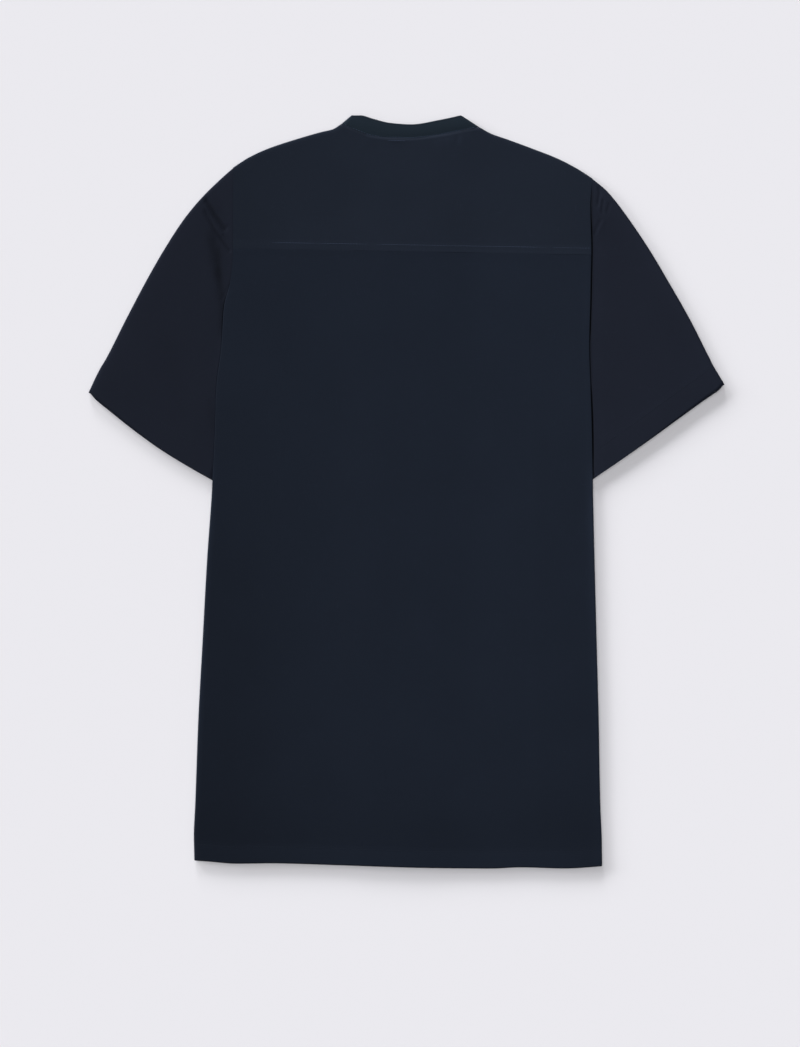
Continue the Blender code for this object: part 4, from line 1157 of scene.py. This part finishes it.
def stitch_shape():
    """One stitch along X: rings of six points whose radius and height swell to its middle."""
    t = np.linspace(-1.0, 1.0, 5)[:, None]
    radius = size("thread") / 2 * np.sqrt(np.clip(1 - 0.85 * t * t, 0.1, 1))
    turn = np.arange(6) * math.pi / 3
    x = np.repeat(t * size("stitch") / 2, 6, axis=1)
    points = np.stack([x, radius * np.cos(turn), radius * np.sin(turn) - STITCH_DIP * t * t], axis=-1)
    ring, start = np.arange(6), np.arange(0, 24, 6)[:, None]
    after = (ring + 1) % 6
    sides = np.stack([start + ring, start + after, start + 6 + after, start + 6 + ring], axis=-1)
    ends = [[0, 5, 4, 3], [0, 3, 2, 1], [24, 25, 26, 27], [24, 27, 28, 29]]
    return points.reshape(-1, 3), np.concatenate([sides.reshape(-1, 4), ends])


def stitches(name, lines, finish, slot="shirting"):
    """Rows of stitches along lines of points, each stitch laid along the line on the cloth."""
    shape, faces = stitch_shape()
    pitch = size("stitch") + size("stitch_gap")
    points, quads, start = [], [], 0
    for line in lines:
        along = lengths(line)
        at = np.arange(pitch / 2, along[-1], pitch)
        middle, ahead, behind = (follow(np.interp, at + step, along, line) for step in (0.0, 0.5, -0.5))
        forward = unit(ahead - behind)
        aside = unit(np.cross((0.0, 0.0, 1.0), forward))
        axes = np.stack([forward, aside, np.cross(forward, aside)], axis=1)
        placed = middle[:, None] + shape @ axes
        points.append(placed.reshape(-1, 3))
        count = np.arange(len(at))[:, None, None] * len(shape)
        quads.append((start + count + faces).reshape(-1, 4))
        start += placed.size // 3
    return make_piece(name, np.concatenate(points), np.concatenate(quads), material_for(finish), slot)


def button_shape():
    """A button face down: a disc of rings round its axis, with a rim, a dish and four deep holes.

    The lower face's depth is the rim's round edge, less a shallow dish inside it, less four bells
    round the hole centres 1.5 mm from the axis. Quads round the axis close both faces.
    """
    turns = 40
    turn = np.linspace(0.0, 2 * math.pi, turns, endpoint=False)
    radius = np.concatenate([np.linspace(0.12, 4.0, 18), [4.3, 4.7, 5.0, 5.25, 5.42, BUTTON_RADIUS - 0.02]])
    x, y = radius[:, None] * np.cos(turn), radius[:, None] * np.sin(turn)
    half = BUTTON_DEPTH / 2
    rim = 0.35 * ease(radius, 4.9, BUTTON_RADIUS)[:, None]
    dish = 0.35 * (1 - ease(radius, 3.2, 4.5))[:, None]
    centres = [(cx, cy) for cx in (-HOLE_PLACE, HOLE_PLACE) for cy in (-HOLE_PLACE, HOLE_PLACE)]
    holes = np.clip(sum(bell(np.hypot(x - cx, y - cy), HOLE_RADIUS) for cx, cy in centres), 0, 1)
    lower = -half + rim + dish + HOLE_DEPTH * holes
    upper = half - rim + 0 * x - HOLE_DENT * holes
    grid = np.concatenate([np.stack([x, y, lower], axis=-1), np.stack([x, y, upper], axis=-1)[::-1]])
    points, quads = joined([np.concatenate([grid, grid[:, :1]], axis=1)])
    for z, order in ((lower[0, 0], -1), (upper[0, 0], 1)):
        ring = [np.argmin(np.linalg.norm(points - (px, py, z), axis=1)) for px, py in zip(x[0], y[0])]
        trios = [[ring[(k + step) % turns] for step in range(3)][::order] for k in range(0, turns, 2)]
        quads = np.concatenate([quads, [[len(points), *trio] for trio in trios]])
        points = np.vstack([points, (0.0, 0.0, z)])
    return points, quads


# ---------------------------------------------------------------- materials


def link(tree, target, sources):
    """Links sockets to a node's inputs."""
    for key, source in sources.items():
        tree.links.new(source, target.inputs[key])


def node(tree, kind, settings=None, sources=None):
    """Adds a node, sets its properties and sockets by name, and links sockets to its inputs."""
    made = tree.nodes.new(kind)
    for key, value in (settings or {}).items():
        if isinstance(key, str) and hasattr(made, key):
            setattr(made, key, value)
        else:
            made.inputs[key].default_value = value
    link(tree, made, sources or {})
    return made


def new_material(name, **settings):
    """A material, its tree and its shader, whose sockets are set by name, with _ for a space."""
    material = bpy.data.materials.new(name)
    material.use_nodes = True
    shader = material.node_tree.nodes["Principled BSDF"]
    for socket, value in settings.items():
        shader.inputs[socket.replace("_", " ")].default_value = value
    return material, material.node_tree, shader


def clouds(tree, noise, factors, levels=(0.0, 1.0)):
    """A factor that drifts between two values in clouds: noise on the piece's own coordinates."""
    place = node(tree, "ShaderNodeTexCoord").outputs["Object"]
    cloud = node(tree, "ShaderNodeTexNoise", noise, {"Vector": place}).outputs["Fac"]
    settings = {"From Min": levels[0], "From Max": levels[1], "To Min": factors[0], "To Max": factors[1]}
    return node(tree, "ShaderNodeMapRange", settings, {"Value": cloud}).outputs["Result"]


def cotton(name, base):
    """Plain-woven cotton: fine threads both ways, sparse slubs, and a matt, slightly uneven navy.

    The weave is drawn coarser than the real 0.25 mm threads, so that it just shows close by.
    """
    material, tree, shader = new_material(
        name, Roughness=0.9, Specular_IOR_Level=0.06, Sheen_Weight=0.02, Sheen_Roughness=0.4)
    grain = node(tree, "ShaderNodeUVMap", {"uv_map": "Grain"}).outputs["UV"]
    # The Shade attribute holds each piece's painted light and shade, and scales the cloth's colour
    shade = node(tree, "ShaderNodeAttribute", {"attribute_name": "Shade"}).outputs["Fac"]
    wave_scale = 2 * math.pi / (WAVE_RADIANS * size("weave") * MM)
    bands = {"wave_type": "BANDS", "Scale": wave_scale, "Distortion": 0.6, "Detail": 1.0}
    threads, slubs = [], []
    for direction, cells in (("X", SLUB_CELLS), ("Y", SLUB_CELLS[::-1])):
        wave = node(tree, "ShaderNodeTexWave", {**bands, "bands_direction": direction}, {"Vector": grain})
        threads.append(wave.outputs["Fac"])
        stretched = node(tree, "ShaderNodeMapping", {"Scale": (*cells, 1.0)}, {"Vector": grain})
        place = {"Vector": stretched.outputs["Vector"]}
        noise = node(tree, "ShaderNodeTexNoise", {"Scale": 1.0, "Detail": 1.0}, place)
        thick = node(tree, "ShaderNodeMapRange", SLUB_LEVELS, {"Value": noise.outputs["Fac"]})
        slubs.append(thick.outputs["Result"])
    weave = node(tree, "ShaderNodeMath", {"operation": "MULTIPLY"}, dict(enumerate(threads))).outputs[0]
    slub = node(tree, "ShaderNodeMath", {"operation": "MAXIMUM"}, dict(enumerate(slubs))).outputs[0]
    even = clouds(tree, {"Scale": COTTON_CLOUDS, "Detail": 3.0}, factors=(0.97, 1.03), levels=(0.3, 0.7))
    light = node(tree, "ShaderNodeMapRange", {"To Min": 1.0, "To Max": 1.22}, {"Value": slub})
    for factor in (even, light.outputs["Result"]):
        shade = node(tree, "ShaderNodeMath", {"operation": "MULTIPLY"}, {0: shade, 1: factor}).outputs[0]
    tone = node(tree, "ShaderNodeVectorMath", {"operation": "SCALE", 0: base}, {"Scale": shade})
    relief = node(tree, "ShaderNodeMath", {"operation": "MULTIPLY_ADD", 1: 0.8}, {0: slub, 2: weave})
    raised = {"Height": relief.outputs[0]}
    bump = node(tree, "ShaderNodeBump", {"Strength": 0.35, "Distance": 0.00012}, raised)
    link(tree, shader, {"Base Color": tone.outputs["Vector"], "Normal": bump.outputs["Normal"]})
    return material


def spun_thread(name, base):
    """Spun polyester sewing thread: a little lighter and glossier than the cloth, twisted; the
    topstitching's paler colour is painted highlight.
    """
    material, tree, shader = new_material(
        name, Base_Color=(*base, 1.0), Roughness=0.8, Specular_IOR_Level=0.1)
    grain = node(tree, "ShaderNodeUVMap", {"uv_map": "Grain"}).outputs["UV"]
    bands = {"bands_direction": "DIAGONAL", "Scale": TWIST_SCALE}
    twist = node(tree, "ShaderNodeTexWave", bands, {"Vector": grain}).outputs["Fac"]
    bump = node(tree, "ShaderNodeBump", {"Strength": 0.3, "Distance": 0.0001}, {"Height": twist})
    link(tree, shader, {"Normal": bump.outputs["Normal"]})
    return material


def cast_polyester(name, base):
    """Cast polyester button: satin navy with faint cloudy streaks."""
    material, tree, shader = new_material(name, Roughness=0.35)
    noise = {"Scale": BUTTON_STREAKS, "Detail": 2.0, "Distortion": 1.5}
    streaks = clouds(tree, noise, factors=(0.8, 1.25))
    tone = node(tree, "ShaderNodeVectorMath", {"operation": "SCALE", 0: base}, {"Scale": streaks})
    link(tree, shader, {"Base Color": tone.outputs["Vector"]})
    return material


def painted_board(name, base):
    """Matt painted board: an even pale grey with a trace of lilac."""
    material, tree, shader = new_material(name, Roughness=1.0, Specular_IOR_Level=0.0)
    even = clouds(tree, {"Scale": BOARD_CLOUDS, "Detail": 2.0}, factors=(0.998, 1.002))
    tone = node(tree, "ShaderNodeVectorMath", {"operation": "SCALE", 0: base}, {"Scale": even})
    link(tree, shader, {"Base Color": tone.outputs["Vector"]})
    return material


# Each of the shirt's colours, with its material's name and maker
FINISHES = {
    "cloth": ("navy_cotton_poplin", cotton),
    "yoke": ("navy_cotton_yoke", cotton),
    "sleeve": ("navy_cotton_sleeve", cotton),
    "band": ("navy_cotton_band", cotton),
    "thread": ("spun_polyester_thread", spun_thread),
    "topstitch": ("spun_polyester_topstitch", spun_thread),
    "button": ("cast_polyester_button", cast_polyester),
}


def material_for(finish):
    """The material of one of the shirt's colours, made when it is first asked for."""
    name, make = FINISHES[finish]
    base = tuple(getattr(bpy.context.scene.shirt_colours, finish))
    return bpy.data.materials.get(name) or make(name, base)


# ---------------------------------------------------------------- operators


class SHIRT_OT_back(bpy.types.Operator):
    """Makes the back, with its turned-under sides and its hem's stitches."""

    bl_idname = "shirt.back"
    bl_label = "Back"

    def execute(self, context):
        back = cloth("back_panel", back_grid(), "cloth", "back", hem_shade)
        left, right = (edge(HEM_LEVEL, side) - side * HEM_CLEAR for side in (-1, 1))
        x = np.linspace(left, right, HEM_POINTS)
        y = hem(x) + size("hem") - STITCH_IN
        z = back_height(x, y) + back_relief(x, y) + size("cloth") / 2 + STITCH_LIFT
        sewn = stitches("hem_stitches", [np.column_stack([x, y, z])], "thread")
        return {"FINISHED"}


class SHIRT_OT_yoke(bpy.types.Operator):
    """Makes the yoke, which folds over both shoulders, with its topstitching."""

    bl_idname = "shirt.yoke"
    bl_label = "Yoke"

    def execute(self, context):
        yoke = cloth("yoke_panel", yoke_grid(), "yoke", "yoke", yoke_shade)
        x = np.linspace(*YOKE_STITCHES, LINE_POINTS)
        y = yoke_seam(x) + size("seam")
        z = back_height(x, y) + YOKE_LIFT + ripple(x, y, *YOKE_RIPPLE) + size("cloth") / 2
        sunk = ripple(x, y, *YOKE_SINK) - END_SINK * (1 - ease(x, *END_FROM))
        tack_x = np.linspace(*TACK_X, TACK_POINTS)
        tack_y = TACK_Y + TACK_SLOPE * (tack_x - TACK_X[0])
        tack_z = back_height(tack_x, tack_y) + size("cloth") / 2 + TACK_LIFT
        lines = [np.column_stack([x, y, z + sunk]), np.column_stack([tack_x, tack_y, tack_z])]
        sewn = stitches("yoke_stitches", lines, "topstitch")
        return {"FINISHED"}


class SHIRT_OT_fronts(bpy.types.Operator):
    """Makes the two fronts, which lie on the surface, hidden under the back."""

    bl_idname = "shirt.fronts"
    bl_label = "Fronts"

    def execute(self, context):
        for side, name in NAMES.items():
            piece = cloth(name + "_front", front_grid(side), "cloth", "front_" + name, body_shade)
        return {"FINISHED"}


class SHIRT_OT_placket(bpy.types.Operator):
    """Makes the placket, the strip with the buttonholes, and its two rows of stitches."""

    bl_idname = "shirt.placket"
    bl_label = "Placket"

    def execute(self, context):
        piece = cloth("button_placket", placket_grid(), "cloth", "placket", body_shade)
        y = np.linspace(*PLACKET_ROWS, LINE_POINTS)
        lines = []
        for across in (-PLACKET_STITCHES, PLACKET_STITCHES):
            x = centre(y) + across
            z = PLACKET_LAYER - size("cloth") / 2 - STITCH_LIFT + ripple(x, y, *PLACKET_RIPPLE)
            lines.append(np.column_stack([x, y, z]))
        sewn = stitches("placket_stitches", lines, "thread")
        return {"FINISHED"}


class SHIRT_OT_sleeves(bpy.types.Operator):
    """Makes both sleeves as flattened tubes, with their creases and their hems' stitches."""

    bl_idname = "shirt.sleeves"
    bl_label = "Sleeves"

    def execute(self, context):
        for side, name in NAMES.items():
            tube, top, from_cuff = sleeve_grids(side)
            piece = cloth(
                name + "_sleeve", [tube], "sleeve", "sleeve_" + name, partial(sleeve_shade, side),
                grain=side * math.radians(SLEEVE_GRAIN))
            line = along_cuff(top, from_cuff, size("cuff") - STITCH_IN)[CUFF_TRIM:-CUFF_TRIM]
            line[:, 2] += size("cloth") / 2 + STITCH_LIFT
            outside = side * (line[:, 0] - edge(line[:, 1], side)) > CUFF_CLEAR
            sewn = stitches(name + "_sleeve_stitches", [line[outside]], "thread")
        return {"FINISHED"}


class SHIRT_OT_collar(bpy.types.Operator):
    """Makes the mandarin collar: a stiffened band with stitches along both its edges."""

    bl_idname = "shirt.collar"
    bl_label = "Collar band"

    def execute(self, context):
        grid = band_grid()
        piece = cloth(
            "collar", [grid], "band", "collar_band", even_shade, slot="collar", thickness=BAND_WALL)
        rows = band_lines()[2]
        back = grid[rows[LEFT_BACK]:rows[RIGHT_BACK] + 1]
        over = (0.0, 0.0, BAND_WALL / 2 + STITCH_LIFT)
        wander = ripple(back[:, 0, 0], back[:, 0, 1], *BAND_WANDER)[:, None] * (0.0, 0.0, 1.0)
        share, column = BAND_STITCHES
        lower = back[:, 0] * (1 - share) + back[:, 1] * share + over + wander
        seam = stitches("collar_stitches", [lower], "topstitch", "collar")
        rim = stitches("collar_edge_stitches", [back[:, column] + over], "thread", "collar")
        return {"FINISHED"}


class SHIRT_OT_buttons(bpy.types.Operator):
    """Makes the seven buttons, turned to the surface that the shirt lies on."""

    bl_idname = "shirt.buttons"
    bl_label = "Buttons"

    def execute(self, context):
        shape, quads = button_shape()
        for number in range(1, BUTTON_COUNT + 1):
            height = BUTTON_FIRST - BUTTON_SPACING * (number - 1)
            points = shape + (float(centre(height)), height, BUTTON_FLOOR + BUTTON_DEPTH / 2)
            material = material_for("button")
            make_piece(f"shirt_button_{number}", points, quads, material, "button", f"button_{number}")
        return {"FINISHED"}


class SHIRT_OT_stage(bpy.types.Operator):
    """Makes the pale floor, the studio light and the camera straight above."""

    bl_idname = "shirt.stage"
    bl_label = "Stage"

    def execute(self, context):
        scene, stage = context.scene, context.scene.shirt_stage
        mesh = bpy.data.meshes.new("floor")
        corners = [(x * FLOOR_HALF, y * FLOOR_HALF, 0) for x, y in ((-1, -1), (1, -1), (1, 1), (-1, 1))]
        mesh.from_pydata(corners, [], [(0, 1, 2, 3)])
        mesh.materials.append(painted_board("matt_painted_board", tuple(stage.floor)))
        floor = bpy.data.objects.new("floor", mesh)
        scene.collection.objects.link(floor)

        tilt = math.pi / 2 - stage.key_height
        lamps = [("key_light", stage.key / len(KEY_TURNS), stage.key_size, tilt, turn) for turn in KEY_TURNS]
        lamps.append(("top_light", stage.top, stage.top_size, 0.0, 0.0))
        for name, energy, width, tilt, turn in lamps:
            sun = bpy.data.lights.new(name, "SUN")
            sun.energy = energy
            sun.angle = width
            lamp = bpy.data.objects.new(name, sun)
            lamp.rotation_euler = (tilt, 0.0, turn)
            scene.collection.objects.link(lamp)

        scene.world = bpy.data.worlds.new("soft_studio")
        scene.world.use_nodes = True
        sky = scene.world.node_tree.nodes["Background"].inputs
        sky["Strength"].default_value = stage.fill
        sky["Color"].default_value = (1.0, 1.0, 1.0, 1.0)

        lens = bpy.data.cameras.new("camera")
        lens.lens = stage.lens
        lens.clip_end = 30.0
        camera = bpy.data.objects.new("camera", lens)
        camera.location = (*VIEW_CENTRE, VIEW_LENGTH * stage.lens / SENSOR + VIEW_HEIGHT)
        scene.collection.objects.link(camera)
        scene.camera = camera
        scene.view_settings.view_transform = "Standard"
        return {"FINISHED"}


class SHIRT_PT_panel(bpy.types.Panel):
    """Lists the shirt's sizes, colours and pieces."""

    bl_idname = "SHIRT_PT_panel"
    bl_label = "Mandarin Collar Shirt"
    bl_space_type = "VIEW_3D"
    bl_region_type = "UI"
    bl_category = "Shirt"

    def draw(self, context):
        for key in GROUPS:
            group = getattr(context.scene, key)
            box = self.layout.box()
            box.label(text=key.replace("shirt_", "").capitalize())
            for name in group.bl_rna.properties.keys():
                if name not in ("rna_type", "name"):
                    box.prop(group, name)
        for operator in OPERATORS:
            self.layout.operator(operator.bl_idname)


OPERATORS = (
    SHIRT_OT_stage, SHIRT_OT_buttons, SHIRT_OT_placket, SHIRT_OT_fronts, SHIRT_OT_back, SHIRT_OT_yoke,
    SHIRT_OT_sleeves, SHIRT_OT_collar,
)
GROUPS = {"shirt_sizes": ShirtSizes, "shirt_colours": ShirtColours, "shirt_stage": StageSettings}
CLASSES = (*GROUPS.values(), *OPERATORS, SHIRT_PT_panel)


def register():
    for cls in CLASSES:
        bpy.utils.register_class(cls)
    for name, group in GROUPS.items():
        setattr(bpy.types.Scene, name, PointerProperty(type=group))


def unregister():
    for name in GROUPS:
        delattr(bpy.types.Scene, name)
    for cls in reversed(CLASSES):
        bpy.utils.unregister_class(cls)


def main():
    """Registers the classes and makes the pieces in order."""
    register()
    bpy.ops.shirt.stage()
    bpy.ops.shirt.buttons()
    bpy.ops.shirt.placket()
    bpy.ops.shirt.fronts()
    bpy.ops.shirt.back()
    bpy.ops.shirt.yoke()
    bpy.ops.shirt.sleeves()
    bpy.ops.shirt.collar()
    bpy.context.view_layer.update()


if __name__ == "__main__":
    main()
